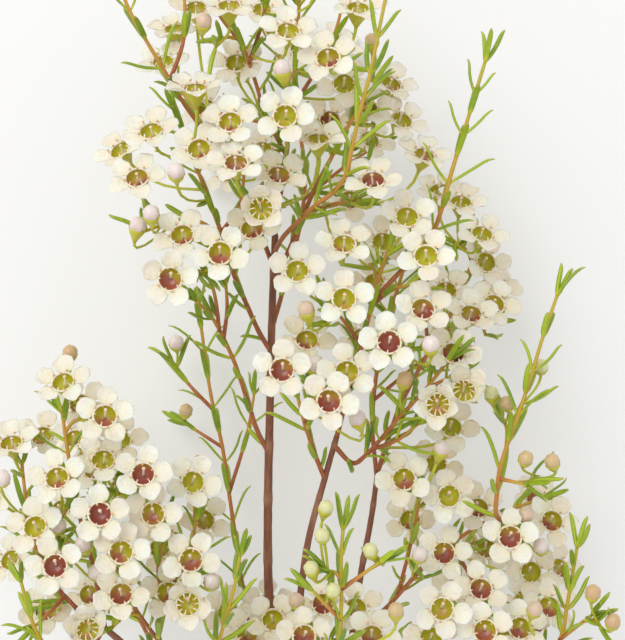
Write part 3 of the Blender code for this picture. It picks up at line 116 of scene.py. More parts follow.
# Each spray: its twig paths (the first one starts inside the limb), the spacing of its leaf pairs in mm,
# its open blooms (across, down, height, lean across, lean up, redness of the cup), its half-open blooms in
# the same words, and its buds (across, down, height, size from 0 young to 1 ripe). A shoot's leaves crowd
# towards its tip.
sprays = {
    "spray_crown": {
        "twigs": [
            [(275, 237, 55), (281, 190, 58), (288, 140, 60), (293, 90, 60), (297, 40, 60), (300, -10, 60)],
            [(286, 155, 60), (262, 110, 62), (252, 60, 66), (234, 35, 72), (208, 0, 78), (197, -22, 80)],
            [(252, 62, 66), (260, 30, 70), (267, 0, 74), (273, -32, 76)],
            [(290, 110, 60), (318, 70, 64), (336, 30, 66), (345, -8, 66)]],
        "blooms": [
            (229, 6, 84, 0.0, 0.7, 0.3), (288, 31, 90, 0.0, 0.6, 0.2), (328, 58, 92, -0.1, 0.35, 0.5),
            (358, 8, 84, 0.1, 0.75, 0.3), (236, 63, 68, 0.0, 0.5, 0.2), (344, 84, 64, 0.0, 0.3, 0.1),
            (285, 116, 92, 0.0, 0.2, 0.1), (230, 122, 90, 0.0, 0.4, 0.6), (318, 139, 84, 0.0, 0.75, 0.3),
            (214, -34, 70, -0.2, 0.7, 0.3), (262, -40, 84, 0.0, 0.6, 0.5), (316, -42, 72, 0.1, 0.7, 0.3),
            (355, -50, 58, 0.2, 0.7, 0.6)],
        "buds": [(282, 68, 97, 1.0), (204, 21, 86, 0.8), (294, 146, 96, 1.0), (312, -24, 86, 0.7)],
        "spacing": 15,
    },
    "spray_crown_left": {
        "twigs": [
            [(268, 352, 53), (258, 330, 56), (246, 303, 59), (235, 278, 62), (224, 240, 66), (207, 195, 69),
             (190, 150, 70), (176, 112, 71)],
            [(222, 232, 66), (240, 205, 70), (244, 175, 72)]],
        "blooms": [
            (195, 88, 86, 0.0, 0.8, 0.4), (151, 131, 82, -0.2, 0.65, 0.3), (199, 149, 90, 0.0, 0.5, 0.4),
            (236, 163, 90, 0.0, 0.65, 0.8), (137, 178, 86, -0.1, 0.5, 0.8), (182, 235, 86, -0.1, 0.5, 0.5),
            (279, 175, 82, 0.1, 0.6, 0.7), (252, 229, 82, 0.0, 0.5, 0.6), (120, 150, 62, -0.4, 0.6, 0.4)],
        "halfOpen": [(261, 200, 98, 0.0, 0.1, 0.1)],
        "buds": [(176, 171, 95, 1.0), (151, 213, 92, 0.9), (138, 225, 86, 1.0)],
        "spacing": 14,
    },
    "shoot_upper_left": {
        "twigs": [
            [(273, 268, 54), (256, 222, 53), (236, 180, 55), (212, 140, 60), (186, 108, 68), (171, 82, 76),
             (152, 50, 80), (138, 27, 82), (124, 0, 84), (115, -26, 85)],
            [(171, 82, 76), (182, 55, 78), (186, 20, 79), (184, -15, 79)]],
        "blooms": [
            (174, 29, 46, -0.1, 0.8, 0.2), (163, 62, 50, -0.2, 0.7, 0.2), (196, 8, 44, 0.0, 0.7, 0.4)],
        "spacing": 9,
    },
    "spray_left": {
        "twigs": [
            [(265, 454, 51), (257, 430, 53), (244, 391, 56), (232, 356, 60), (223, 329, 64), (206, 311, 69),
             (195, 300, 74)],
            [(223, 329, 64), (216, 302, 68), (211, 280, 72)],
            [(226, 336, 62), (227, 310, 64), (226, 285, 66)]],
        "blooms": [(170, 279, 92, 0.0, 0.0, 0.7), (220, 253, 92, 0.0, 0.2, 0.6)],
        "spacing": 16,
    },
    "spray_right_crown": {
        "twigs": [
            [(272, 286, 53), (290, 250, 55), (306, 206, 60), (330, 160, 64), (352, 120, 62), (372, 85, 58)],
            [(300, 212, 61), (330, 205, 66), (356, 200, 70)]],
        "blooms": [
            (373, 180, 90, 0.0, 0.7, 0.9), (402, 120, 48, 0.3, 0.5, 0.1), (367, 108, 54, 0.1, 0.6, 0.6),
            (391, 84, 42, 0.3, 0.6, 0.4), (344, 244, 88, 0.0, 0.6, 0.6), (424, 155, 54, 0.2, 0.7, 0.6)],
        "buds": [(372, 40, 60, 0.6)],
        "spacing": 14,
    },
    "shoot_upper_right": {
        "twigs": [
            [(274, 252, 55), (284, 236, 68), (312, 208, 80), (344, 184, 88), (355, 133, 94), (364, 96, 97),
             (371, 71, 98), (381, 20, 99), (388, -14, 99)]],
        "spacing": 8, "shoot": True,
    },
    "spray_middle": {
        "twigs": [
            [(336, 438, 60), (346, 400, 64), (358, 360, 68), (368, 320, 72), (378, 280, 74),
             (388, 250, 74)],
            [(362, 345, 69), (345, 322, 74), (332, 305, 78)],
            [(371, 305, 73), (392, 290, 76), (410, 285, 78)]],
        "blooms": [
            (344, 299, 94, 0.0, 0.3, 0.2), (389, 342, 96, 0.0, 0.3, 0.9), (423, 309, 90, 0.1, 0.5, 0.8),
            (426, 256, 92, 0.0, 0.35, 0.2), (407, 217, 84, 0.0, 0.45, 0.1), (383, 242, 66, 0.0, 0.5, 0.2),
            (347, 372, 94, 0.1, 0.3, 0.2), (297, 271, 90, 0.0, 0.4, 0.1)],
        "buds": [(306, 309, 94, 0.8), (431, 344, 97, 1.0), (352, 238, 70, 0.8)],
        "spacing": 13,
    },
    "spray_middle_low": {
        "twigs": [
            [(325, 479, 58), (312, 447, 62), (304, 422, 67), (298, 398, 72)],
            [(304, 422, 67), (316, 398, 72)]],
        "blooms": [
            (282, 370, 96, 0.0, 0.15, 0.8), (329, 401, 92, 0.1, 0.3, 0.8), (307, 340, 88, 0.0, 0.6, 0.5)],
        "buds": [(316, 364, 90, 1.0), (357, 418, 92, 0.9)],
        "spacing": 11,
    },
    "spray_right": {
        "twigs": [
            [(334, 446, 60), (352, 463, 62), (368, 454, 66), (397, 420, 74), (425, 390, 80),
             (447, 362, 83)],
            [(372, 450, 67), (398, 440, 72), (418, 424, 74)],
            [(425, 390, 80), (448, 378, 82)]],
        "blooms": [(453, 353, 82, 0.1, 0.5, 0.8), (451, 427, 64, 0.2, 0.5, 0.2)],
        "halfOpen": [(438, 405, 94, -0.1, 0.1, 0.4), (464, 391, 88, 0.1, 0.4, 0.1)],
        "buds": [(405, 379, 88, 0.7)],
        "spacing": 8,
    },
    "spray_right_far": {
        "twigs": [
            [(378, 472, 32), (394, 420, 34), (420, 366, 36), (446, 322, 37), (466, 285, 37),
             (476, 250, 36)],
            [(440, 332, 37), (470, 325, 38), (490, 322, 38)],
            [(428, 352, 37), (424, 300, 38), (430, 262, 38)]],
        "blooms": [
            (482, 234, 50, 0.2, 0.6, 0.3), (461, 202, 44, 0.1, 0.7, 0.2), (471, 314, 64, 0.1, 0.6, 0.7),
            (494, 304, 48, 0.2, 0.5, 0.6), (510, 328, 42, 0.3, 0.4, 0.1), (486, 262, 36, 0.4, 0.3, 0.3),
            (440, 190, 40, 0.0, 0.7, 0.4), (500, 290, 24, 0.5, 0.4, 0.4), (446, 290, 56, 0.1, 0.6, 0.4)],
        "spacing": 14,
    },
    "shoot_right": {
        "twigs": [
            [(372, 300, 73), (404, 268, 72), (428, 246, 72), (441, 212, 76), (452, 170, 80), (463, 135, 82),
             (472, 105, 83), (480, 78, 84), (485, 62, 84)]],
        "growsFrom": "spray_middle", "spacing": 8, "shoot": True,
    },
    "spray_low_right": {
        "twigs": [
            [(352, 640, 29), (388, 606, 38), (430, 560, 44), (470, 530, 48), (510, 510, 50),
             (538, 500, 50)],
            [(398, 596, 39), (410, 550, 46), (416, 510, 50), (422, 486, 52)],
            [(452, 545, 46), (470, 570, 50), (482, 605, 54)]],
        "blooms": [
            (404, 479, 70, 0.0, 0.2, 0.5), (436, 464, 60, 0.0, 0.4, 0.4), (449, 496, 66, 0.1, 0.0, 0.3),
            (510, 537, 68, 0.0, 0.2, 0.7), (552, 521, 54, 0.1, 0.4, 0.6), (536, 500, 36, 0.2, 0.5, 0.8),
            (481, 589, 68, 0.0, 0.5, 0.9), (531, 572, 46, 0.2, 0.3, 0.1), (444, 553, 62, 0.1, 0.3, 0.6),
            (451, 609, 76, 0.0, 0.1, 0.3), (485, 631, 78, 0.0, 0.1, 0.5), (410, 520, 34, 0.0, 0.4, 0.4),
            (478, 508, 40, 0.1, 0.5, 0.5), (486, 548, 34, 0.1, 0.4, 0.3)],
        "buds": [(420, 554, 72, 0.9), (442, 448, 76, 0.9), (541, 546, 66, 0.9), (526, 514, 72, 0.8)],
        "spacing": 13,
    },
    "shoot_low_right": {
        "twigs": [
            [(513, 512, 50), (513, 524, 59), (497, 520, 69), (497, 480, 78), (505, 450, 80), (515, 425, 82),
             (530, 380, 84), (545, 330, 85), (557, 296, 85)],
            [(497, 480, 78), (512, 470, 80), (524, 484, 82)]],
        "buds": [
            (526, 458, 84, 0.6), (552, 461, 84, 0.6), (491, 393, 78, 0.5), (507, 403, 78, 0.6),
            (541, 366, 80, 0.5)],
        "growsFrom": "spray_low_right", "spacing": 8, "shoot": True,
    },
    "spray_corner": {
        "twigs": [
            [(500, 668, 39), (520, 690, 50), (540, 672, 60), (556, 650, 64), (563, 632, 66), (568, 600, 68),
             (574, 568, 69), (577, 548, 69)],
            [(560, 640, 65), (580, 632, 70), (592, 615, 74)]],
        "blooms": [
            (549, 607, 52, 0.1, 0.4, 0.6), (600, 640, 46, 0.3, 0.3, 0.5), (520, 628, 66, 0.0, 0.3, 0.6)],
        "buds": [(593, 592, 84, 0.7), (613, 621, 84, 0.7), (526, 609, 76, 0.8)],
        "spacing": 8, "shoot": True,
    },
    "spray_low_left": {
        "twigs": [
            [(76, 608, 64), (60, 594, 68), (45, 570, 71), (33, 540, 72), (25, 500, 70), (22, 465, 66)],
            [(64, 598, 67), (50, 612, 72), (36, 625, 76)],
            [(40, 556, 72), (60, 530, 76), (66, 510, 78)]],
        "blooms": [
            (55, 566, 92, 0.0, 0.1, 0.8), (35, 527, 86, -0.1, 0.4, 0.3), (57, 478, 88, 0.0, 0.5, 0.3),
            (11, 443, 72, -0.1, 0.8, 0.4), (46, 611, 62, -0.1, 0.6, 0.5), (-8, 500, 66, -0.5, 0.4, 0.5),
            (10, 560, 52, -0.4, 0.5, 0.4)],
        "buds": [
            (36, 402, 80, 1.0), (83, 544, 92, 0.9), (58, 525, 90, 0.9), (2, 478, 88, 1.0),
            (96, 572, 90, 0.9)],
        "spacing": 12,
    },
    "spray_low_left_tall": {
        "twigs": [
            [(106, 629, 62), (98, 590, 64), (92, 560, 66), (80, 518, 68), (72, 480, 69), (66, 440, 68),
             (62, 412, 66)],
            [(84, 535, 67), (104, 505, 70), (116, 480, 71)]],
        "blooms": [
            (63, 382, 72, -0.1, 0.6, 0.2), (105, 416, 86, 0.1, 0.3, 0.6), (103, 460, 80, 0.1, 0.6, 0.3),
            (100, 514, 92, 0.0, 0.1, 1.0), (143, 474, 86, 0.1, 0.4, 0.9), (42, 436, 58, -0.2, 0.6, 0.4),
            (80, 404, 52, 0.0, 0.5, 0.5), (120, 440, 54, 0.2, 0.5, 0.3)],
        "buds": [(108, 396, 72, 0.8), (70, 352, 60, 0.7)],
        "spacing": 12,
    },
    "spray_low_left_inner": {
        "twigs": [
            [(150, 669, 57), (158, 640, 62), (160, 600, 66), (158, 560, 68), (164, 525, 68)],
            [(159, 590, 66), (178, 575, 68), (190, 560, 68), (196, 520, 66)],
            [(158, 640, 62), (136, 612, 68), (126, 580, 72)]],
        "blooms": [
            (153, 514, 88, 0.0, 0.1, 0.5), (193, 482, 74, 0.2, 0.4, 0.1), (121, 552, 88, 0.1, 0.3, 0.5),
            (191, 560, 84, 0.1, 0.2, 0.6), (121, 594, 88, 0.0, 0.5, 0.7), (168, 593, 74, 0.1, 0.4, 0.5),
            (204, 520, 52, 0.3, 0.4, 0.4), (160, 548, 46, 0.0, 0.5, 0.5)],
        "halfOpen": [(188, 604, 92, 0.0, 0.1, 0.1), (88, 630, 90, 0.0, 0.5, 0.3)],
        "buds": [(212, 581, 92, 1.0), (200, 462, 70, 0.7)],
        "spacing": 12,
    },
    "shoot_low_middle_left": {
        "twigs": [
            [(196, 722, 49), (206, 700, 62), (212, 668, 76), (222, 630, 86), (235, 585, 91),
             (240, 556, 92)]],
        "spacing": 7, "shoot": True,
    },
    "shoot_low_left": {
        "twigs": [
            [(104, 628, 62), (92, 655, 70), (66, 668, 76), (44, 645, 82), (36, 632, 84), (26, 604, 86),
             (21, 582, 87)]],
        "spacing": 7, "shoot": True,
    },
    "shoot_low_middle": {
        "twigs": [
            [(287, 835, 25), (300, 770, 56), (325, 700, 82), (338, 650, 92), (342, 610, 96), (341, 560, 98),
             (343, 530, 98)],
            [(341, 620, 95), (322, 602, 97), (312, 590, 98)],
            [(341, 588, 96), (362, 575, 99), (380, 562, 100)]],
        "buds": [
            (326, 507, 101, 0.4), (322, 535, 101, 0.4), (311, 568, 101, 0.4), (333, 590, 103, 0.4),
            (370, 550, 101, 0.4), (397, 543, 100, 0.4), (396, 610, 100, 0.6)],
        "spacing": 8, "shoot": True,
    },
    "spray_low_middle": {
        "twigs": [
            [(292, 768, 35), (282, 720, 34), (280, 680, 40), (286, 650, 50)],
            [(281, 700, 36), (300, 670, 44), (330, 640, 52)],
            [(280, 690, 38), (262, 650, 42)]],
        "blooms": [
            (304, 636, 74, 0.0, 0.3, 0.7), (323, 604, 62, 0.1, 0.4, 0.6), (247, 634, 60, 0.2, 0.5, 0.5),
            (268, 604, 46, 0.0, 0.5, 0.4), (282, 620, 58, 0.0, 0.5, 0.3), (228, 612, 50, -0.1, 0.5, 0.2)],
        "buds": [(296, 600, 66, 0.8)],
        "spacing": 12,
    },
    "spray_low_middle_right": {
        "twigs": [
            [(340, 712, 26), (362, 690, 38), (382, 660, 50), (396, 640, 56)]],
        "blooms": [
            (372, 636, 76, 0.0, 0.5, 0.8), (431, 638, 76, 0.0, 0.3, 0.1), (400, 612, 66, 0.1, 0.4, 0.4),
            (356, 608, 52, 0.0, 0.5, 0.4)],
        "spacing": 12,
    },
    "twig_background": {
        "twigs": [
            [(277, 700, 41), (256, 650, 32), (243, 590, 26), (236, 541, 23), (229, 493, 21), (223, 447, 20),
             (214, 411, 19), (208, 378, 18), (203, 340, 18), (198, 306, 18)],
            [(214, 411, 19), (198, 395, 19), (180, 374, 20), (173, 362, 21)],
            [(229, 493, 21), (240, 460, 20), (249, 425, 20), (254, 395, 20)],
            [(223, 447, 20), (205, 435, 16), (188, 425, 13)]],
        "buds": [(176, 342, 24, 1.0), (186, 410, 18, 0.6)],
        "spacing": 9,
    },
    "spray_under_crown": {
        "twigs": [
            [(271, 330, 53), (286, 280, 40), (300, 230, 30), (306, 170, 24), (296, 110, 20), (280, 60, 18),
             (262, 20, 18)],
            [(303, 200, 27), (340, 170, 22), (370, 150, 20)],
            [(300, 130, 22), (250, 120, 20), (215, 112, 20)]],
        "blooms": [
            (262, 10, 24, 0.0, 0.6, 0.3), (300, 50, 26, 0.2, 0.5, 0.6), (240, 70, 20, -0.3, 0.5, 0.4),
            (205, 108, 22, -0.5, 0.5, 0.5), (370, 140, 26, 0.4, 0.5, 0.3), (330, 120, 24, 0.1, 0.4, 0.8),
            (262, 150, 30, 0.0, 0.5, 0.4), (350, 200, 28, 0.3, 0.4, 0.5), (226, 170, 14, -0.6, 0.3, 0.6),
            (340, 40, 16, 0.4, 0.6, 0.5)],
        "buds": [(224, 96, 36, 0.8)],
        "spacing": 15,
    },
    "spray_under_right": {
        "twigs": [
            [(377, 478, 32), (372, 420, 22), (378, 360, 18), (394, 300, 16), (410, 250, 16)],
            [(374, 400, 20), (410, 370, 16), (440, 345, 15)]],
        "blooms": [
            (412, 236, 22, 0.2, 0.5, 0.4), (374, 282, 24, -0.2, 0.5, 0.5), (446, 330, 16, 0.5, 0.3, 0.3),
            (360, 338, 26, -0.3, 0.4, 0.6), (430, 284, 12, 0.5, 0.4, 0.4), (400, 360, 26, 0.1, 0.4, 0.7)],
        "spacing": 15,
    },
    "spray_under_low_left": {
        "twigs": [
            [(190, 715, 51), (160, 660, 36), (130, 600, 26), (110, 540, 22), (96, 490, 20)],
            [(120, 570, 24), (80, 550, 20), (50, 530, 18)]],
        "blooms": [
            (94, 470, 22, 0.0, 0.5, 0.4), (140, 500, 24, 0.3, 0.4, 0.5), (60, 510, 24, -0.4, 0.4, 0.4),
            (34, 560, 14, -0.6, 0.2, 0.6), (84, 600, 16, -0.2, 0.3, 0.4), (150, 580, 26, 0.3, 0.4, 0.3),
            (70, 440, 12, -0.3, 0.6, 0.5)],
        "spacing": 15,
    },
    "spray_under_low_right": {
        "twigs": [
            [(468, 702, 34), (480, 650, 24), (486, 600, 20), (496, 560, 18)],
            [(482, 630, 22), (520, 600, 18), (548, 580, 17)]],
        "blooms": [
            (500, 544, 22, 0.1, 0.5, 0.4), (560, 568, 20, 0.5, 0.4, 0.5), (524, 600, 24, 0.2, 0.3, 0.3),
            (460, 590, 16, -0.3, 0.4, 0.5), (580, 600, 12, 0.7, 0.2, 0.6), (504, 640, 22, 0.1, 0.2, 0.6)],
        "spacing": 15,
    },
}


def spot(place):  # a planned place, in the row frame
    height, eyeHeight = place[2] * mm, layout["eyeHeight"]
    unit = layout["pictureUnit"] * (eyeHeight - height) / (eyeHeight - layout["focusHeight"])
    across = (place[0] - layout["pictureMiddle"][0]) * unit
    up = (layout["pictureMiddle"][1] - place[1]) * unit
    return Vector((across, up, height)) + layout["headShift"]


def curveThrough(points, countOf):  # Catmull-Rom, with countOf(length of a span) points in each span
    padded = [points[0] * 2 - points[1], *points, points[-1] * 2 - points[-2]]
    path = []
    for before, start, end, after in zip(padded, padded[1:], padded[2:], padded[3:]):
        bow, twist = 2 * before - 5 * start + 4 * end - after, 3 * start - before - 3 * end + after
        count = countOf((end - start).length)
        for i in range(count):
            t = i / count
            path.append(0.5 * (2 * start + (end - before) * t + bow * t**2 + twist * t**3))
    return [*path, points[-1].copy()]


def smoothPath(places, step):
    return curveThrough(places, lambda length: max(1, round(length / step)))


def curved(points, perSpan):
    return curveThrough(points, lambda length: perSpan)


def alongAt(path, i):
    return (path[min(i + 1, len(path) - 1)] - path[max(i - 1, 0)]).normalized()


def turnedFrames(path):  # side vectors that turn with the path and never twist
    side, frames = alongAt(path, 0).orthogonal(), []
    for i in range(len(path)):
        along = alongAt(path, i)
        side = (side - along * side.dot(along)).normalized()
        frames.append((side.copy(), along.cross(side)))
    return frames


def closestOn(paths, point):
    closest = None
    for path in paths:
        for a, b in zip(path, path[1:]):
            share = max(0.0, min(1.0, (point - a).dot(b - a) / (b - a).length_squared))
            here = a.lerp(b, share)
            if closest is None or (here - point).length < (closest - point).length:
                closest = here
    return closest


def leafPlaces(name, p, path, spray):  # the path with a point at each leaf pair, and the leaves there
    draw = random.Random(f"{name} leaves {p}")
    total = sum((b - a).length for a, b in zip(path, path[1:]))

    def nearTip(place):  # 0 up to the middle of a shoot, 1 at its tip
        return max(0.0, (place / total - 0.55) / 0.45) if "shoot" in spray else 0.0

    places, place = [], total * (0.12 if p else 0.25)
    while place < total - 1.5 * mm:
        places.append(place)
        place += spray["spacing"] * mm * draw.uniform(0.85, 1.15) * (1 - 0.6 * nearTip(place))
    stations, run = [(0.0, path[0], False)], 0.0
    for a, b in zip(path, path[1:]):
        length = (b - a).length
        stations += [(place, a + (b - a) * ((place - run) / length), True)
                     for place in places if run <= place < run + length]
        run += length
        stations.append((run, b, False))
    kept = []
    for here in stations:
        if kept and here[0] - kept[-1][0] < 5.5 * mm:
            if (kept[-1][2] or not here[2] or len(kept) == 1) and here[0] < total:
                continue
            if len(kept) > 1:
                kept.pop()
        kept.append(here)
    nodes = {}
    for k, (place, _, isLeafy) in enumerate(kept):
        if isLeafy:
            nodes[k] = [(quarter, math.radians(draw.uniform(28, 48)) * (1 - 0.5 * nearTip(place)),
                         leafSizes["length"] * draw.uniform(0.75, 1.15) * (1 - 0.38 * nearTip(place)))
                        for quarter in ((0, 2) if len(nodes) % 2 else (1, 3))]
    return [point for _, point, _ in kept], nodes


def facingOf(leanAcross, leanUp):
    return Vector((leanAcross, leanUp, math.sqrt(max(0.05, 1 - leanAcross**2 - leanUp**2)))).normalized()


def headsOf(name, spray):  # every bloom and bud of a spray, with the place where its stalk would end
    heads = []
    rows = [(row, 1.0) for row in spray.get("blooms", ())] + [(row, 0.3) for row in spray.get("halfOpen", ())]
    for i, (row, openness) in enumerate(rows):
        draw = random.Random(f"{name} bloom {i}")
        leanAcross, leanUp = row[3] + draw.uniform(-0.08, 0.08), row[4] + draw.uniform(-0.06, 0.06)
        heads.append({"sort": "bloom", "place": row[:3], "red": row[5],
                      "facing": facingOf(leanAcross, leanUp),
                      "turn": draw.uniform(0, math.tau), "spread": openness * draw.uniform(0.86, 1.0),
                      "behind": bloomSizes["funnelLength"] + bloomSizes["stalkLength"]})
    for i, row in enumerate(spray.get("buds", ())):
        draw = random.Random(f"{name} bud {i}")
        heads.append({"sort": "bud", "place": row[:3], "size": row[3],
                      "facing": facingOf(draw.uniform(-0.3, 0.3), draw.uniform(0.5, 0.85)),
                      "turn": draw.uniform(0, math.tau), "behind": 1.1 * bloomSizes["stalkLength"]})
    for head in heads:
        head["start"] = spot(head["place"]) - head["facing"] * head["behind"]
    return heads


def middleOf(group):
    return sum((head["start"] for head in group), Vector()) / len(group)


def clustersOf(heads):
    waiting, found = list(heads), []
    while waiting:
        seed = waiting.pop(0)
        group = [seed]
        for head in sorted(waiting, key=lambda head: (head["start"] - seed["start"]).length):
            near = (head["start"] - middleOf(group)).length < layout["clusterReach"]
            if len(group) < layout["clusterSize"] and near:
                group.append(head)
                waiting.remove(head)
        found.append(group)
    return found


def nearestAlong(paths, point):  # where a side twig leaves for the point, and the path's way
    best = None
    for path in paths:
        for start, end in zip(path, path[1:]):
            along = (end - start).normalized()
            for share in (0.25, 0.5, 0.75):
                root = start.lerp(end, share)
                gap = point - root
                cost = gap.length * (1.25 - 0.5 * (gap.normalized().dot(along) if gap.length > 0 else 1))
                if best is None or cost < best[0]:
                    best = (cost, root, along)
    return best[1:]


def clusterTwig(paths, group, lift):
    middle = middleOf(group)
    root, along = nearestAlong(paths, middle)
    gap = middle - root
    if len(group) == 1 or gap.length < 2.5 * mm:
        return None, [root] * len(group)
    bend = root + along * gap.length * 0.35 + gap * 0.25 + Vector((0, 0, lift * mm))
    twig = [root * (1 - t) ** 2 + bend * 2 * t * (1 - t) + middle * t**2 for t in (0, 0.5, 1.0)]
    shares = [1.0 - 0.5 * k / len(group) for k in range(len(group))]
    return twig, [twig[1] + (twig[2] - twig[1]) * max(0.05, 2 * share - 1 - 0.04) for share in shares]


def bloomFrame(head):
    side = Matrix.Rotation(head["turn"], 3, head["facing"]) @ head["facing"].orthogonal().normalized()
    return side, head["facing"].cross(side)


def petalEdges(centre, head):  # where the solid's petals have their outermost corners
    side, over = bloomFrame(head)
    lift, rim, edges = 1 - head["spread"], bloomSizes["cupRim"], []
    reach = (bloomSizes["reach"] - rim) * (1 - 0.75 * lift) + rim
    width = bloomSizes["petalHalfWidth"] * (1 - 0.15 * lift)
    for i in range(5):
        middle = math.tau * (i + 0.5) / 5
        for across in (-width * 0.5, width * 0.5):
            angle, radius = middle + math.atan2(across, reach), math.hypot(reach, across)
            edges.append(centre + (side * math.cos(angle) + over * math.sin(angle)) * radius
                         + head["facing"] * (1.2 + 5.2 * lift) * mm)
    return edges


def budRadius(size):
    return budSizes["youngRadius"] + (budSizes["ripeRadius"] - budSizes["youngRadius"]) * size


class SolidCorners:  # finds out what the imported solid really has, so that each piece sits on its solid
    def __init__(self, node):
        mesh = frame["nodes"][node].data
        self.points = np.empty(len(mesh.vertices) * 3)
        mesh.vertices.foreach_get("co", self.points)
        self.points = self.points.reshape(-1, 3)
        self.tree = kdtree.KDTree(len(self.points))
        for i, point in enumerate(self.points):
            self.tree.insert(point, i)
        self.tree.balance()

    def near(self, point, sort):
        return self.tree.find(point)[2] < matching[sort]

    def sunk(self, point):  # how far below the point its corner is, where a bloom was let down
        aside = np.hypot(self.points[:, 0] - point.x, self.points[:, 1] - point.y)
        return [corner[2] - point.z for corner in self.points[aside < matching["letDown"]]]

    def placeOf(self, head):
        for nudge in heightNudges + sideNudges:
            across, down, height = (head["place"][i] + nudge[i] for i in range(3))
            centre = spot((across, down, max(layout["lowest"], height)))
            if head["sort"] == "bud":
                if self.near(centre + head["facing"] * budRadius(head["size"]), "bud"):
                    return centre
                continue
            edges, shifts = petalEdges(centre, head), [0.0]
            if head["place"][2] < layout["lowBloom"]:
                shifts = self.sunk(edges[0]) + self.sunk(edges[5])
            for shift in shifts:
                sinking = Vector((0, 0, shift))
                if sum(self.near(edge + sinking, "petal") for edge in edges) >= matching["petalCorners"]:
                    return centre + sinking
        return None

    def liftOf(self, paths, group):
        for lift in (0, 3, -3, 6, -6, 9, -9):
            twig, roots = clusterTwig(paths, group, lift)
            if twig is None:
                return twig, roots
            ring = [hit[2] for hit in self.tree.find_range(twig[1], matching["twigReach"])]
            corners = sum(abs(distance - matching["twigCorner"]) < matching["twigSlack"] for distance in ring)
            if corners >= matching["twigCorners"]:
                return twig, roots
        return clusterTwig(paths, group, 0)


limbPaths = [smoothPath([spot(place) for place in places], layout["limbStep"])
             for places, _ in limbs.values()]
twigPaths, leafNodes, clusters, heads, missing = {}, {}, {}, 0, 0
for name, spray in sprays.items():
    twigPaths[name], leafNodes[name] = [], []
    carriers = twigPaths[spray["growsFrom"]] if "growsFrom" in spray else limbPaths
    for p, twig in enumerate(spray["twigs"]):
        points = [spot(place) for place in twig]
        points[0] = closestOn(twigPaths[name] or carriers, points[0])
        path, nodes = leafPlaces(name, p, smoothPath(points, layout["twigStep"]), spray)
        twigPaths[name].append(path)
        leafNodes[name].append(nodes)

solids = {name: SolidCorners(name) for name in sprays}
for name, spray in sprays.items():
    clusters[name] = []
    for group in clustersOf(headsOf(name, spray)):
        twig, roots = solids[name].liftOf(twigPaths[name], group)
        for head, root in zip(group, roots):
            head["centre"], head["root"] = solids[name].placeOf(head), root
        found = [head for head in group if head["centre"] is not None]
        heads, missing = heads + len(found), missing + len(group) - len(found)
        if found:
            clusters[name].append((twig, found))
print("heads found on the solids:", heads, "left out:", missing)


pieceKinds = ["bark", "twig", "stalk", "leaf", "petal", "cup", "stamen", "bud"]
materials = {}


class Growth:  # points, faces, materials and marks of one piece, gathered and made into a mesh at the end
    def __init__(self):
        self.points, self.faces, self.kinds, self.marks, self.count = [], [], [], [], 0

    def add(self, points, faces, kind, marks):
        points = np.array([tuple(point) for point in points], float)
        fans = np.array([(face[0], face[i], face[i + 1]) for face in faces for i in range(1, len(face) - 1)])
        a, b, c = (points - points.mean(0))[fans].transpose(1, 0, 2)
        if (a * np.cross(b, c)).sum() < 0:  # every closed form faces outwards
            faces = [tuple(reversed(face)) for face in faces]
        self.points.append(points)
        self.faces += [tuple(corner + self.count for corner in face) for face in faces]
        self.kinds += [pieceKinds.index(kind)] * len(faces)
        self.marks.append(np.asarray(marks, float))
        self.count += len(points)

    def piece(self, name, node):
        mesh = bpy.data.meshes.new(name)
        margin = 0.02 * mm
        inBox = np.clip(np.vstack(self.points), np.array(cadBox[0]) + margin, np.array(cadBox[1]) - margin)
        mesh.from_pydata(inBox.tolist(), [], self.faces)
        for kind in pieceKinds:
            mesh.materials.append(materials[kind])
        mesh.polygons.foreach_set("material_index", self.kinds)
        mesh.polygons.foreach_set("use_smooth", [True] * len(self.faces))
        marks = np.ones((self.count, 4))
        marks[:, :3] = np.vstack(self.marks)
        mesh.attributes.new("marks", "FLOAT_COLOR", "POINT").data.foreach_set("color", marks.ravel())
        mesh.update()
        made = bpy.data.objects.new(name, mesh)
        bpy.context.scene.collection.objects.link(made)
        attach(made, "root")
        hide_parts(node)
        return made


def gridFaces(rows, columns, closed):
    return [(i * columns + j, i * columns + (j + 1) % columns,
             (i + 1) * columns + (j + 1) % columns, (i + 1) * columns + j)
            for i in range(rows - 1) for j in range(columns if closed else columns - 1)]


def tubeFaces(rows, around):  # a closed form of rings, with a cap on the first and on the last
    return [*gridFaces(rows, around, True), tuple(reversed(range(around))),
            tuple(range((rows - 1) * around, rows * around))]


def ringPoints(radius, height, around, rib=0.0, lean=(0.0, 0.0)):  # a level ring, in and out at its ribs
    points = []
    for j in range(around):
        angle, reach = math.tau * j / around, radius * (1 + rib * (1 if j % 2 else -1))
        points.append((math.cos(angle) * reach + lean[0], math.sin(angle) * reach + lean[1], height))
    return points


def placer(head):  # from mm round a bloom or bud to the row frame
    turn = np.array([*bloomFrame(head), head["facing"]]) * mm
    return lambda points: np.array([tuple(point) for point in points]) @ turn + np.array(head["centre"])


def addTube(growth, path, radii, sides, kind, mark):  # mark(share of the length) gives the marks of a ring
    run, points, marks = [0.0], [], []
    for a, b in zip(path, path[1:]):
        run.append(run[-1] + (b - a).length)
    for length, point, (side, over), radius in zip(run, path, turnedFrames(path), radii):
        for j in range(sides):
            angle = math.tau * j / sides
            points.append(point + side * (math.cos(angle) * radius) + over * (math.sin(angle) * radius))
        marks += [mark(length / run[-1])] * sides
    growth.add(points, tubeFaces(len(path), sides), kind, marks)


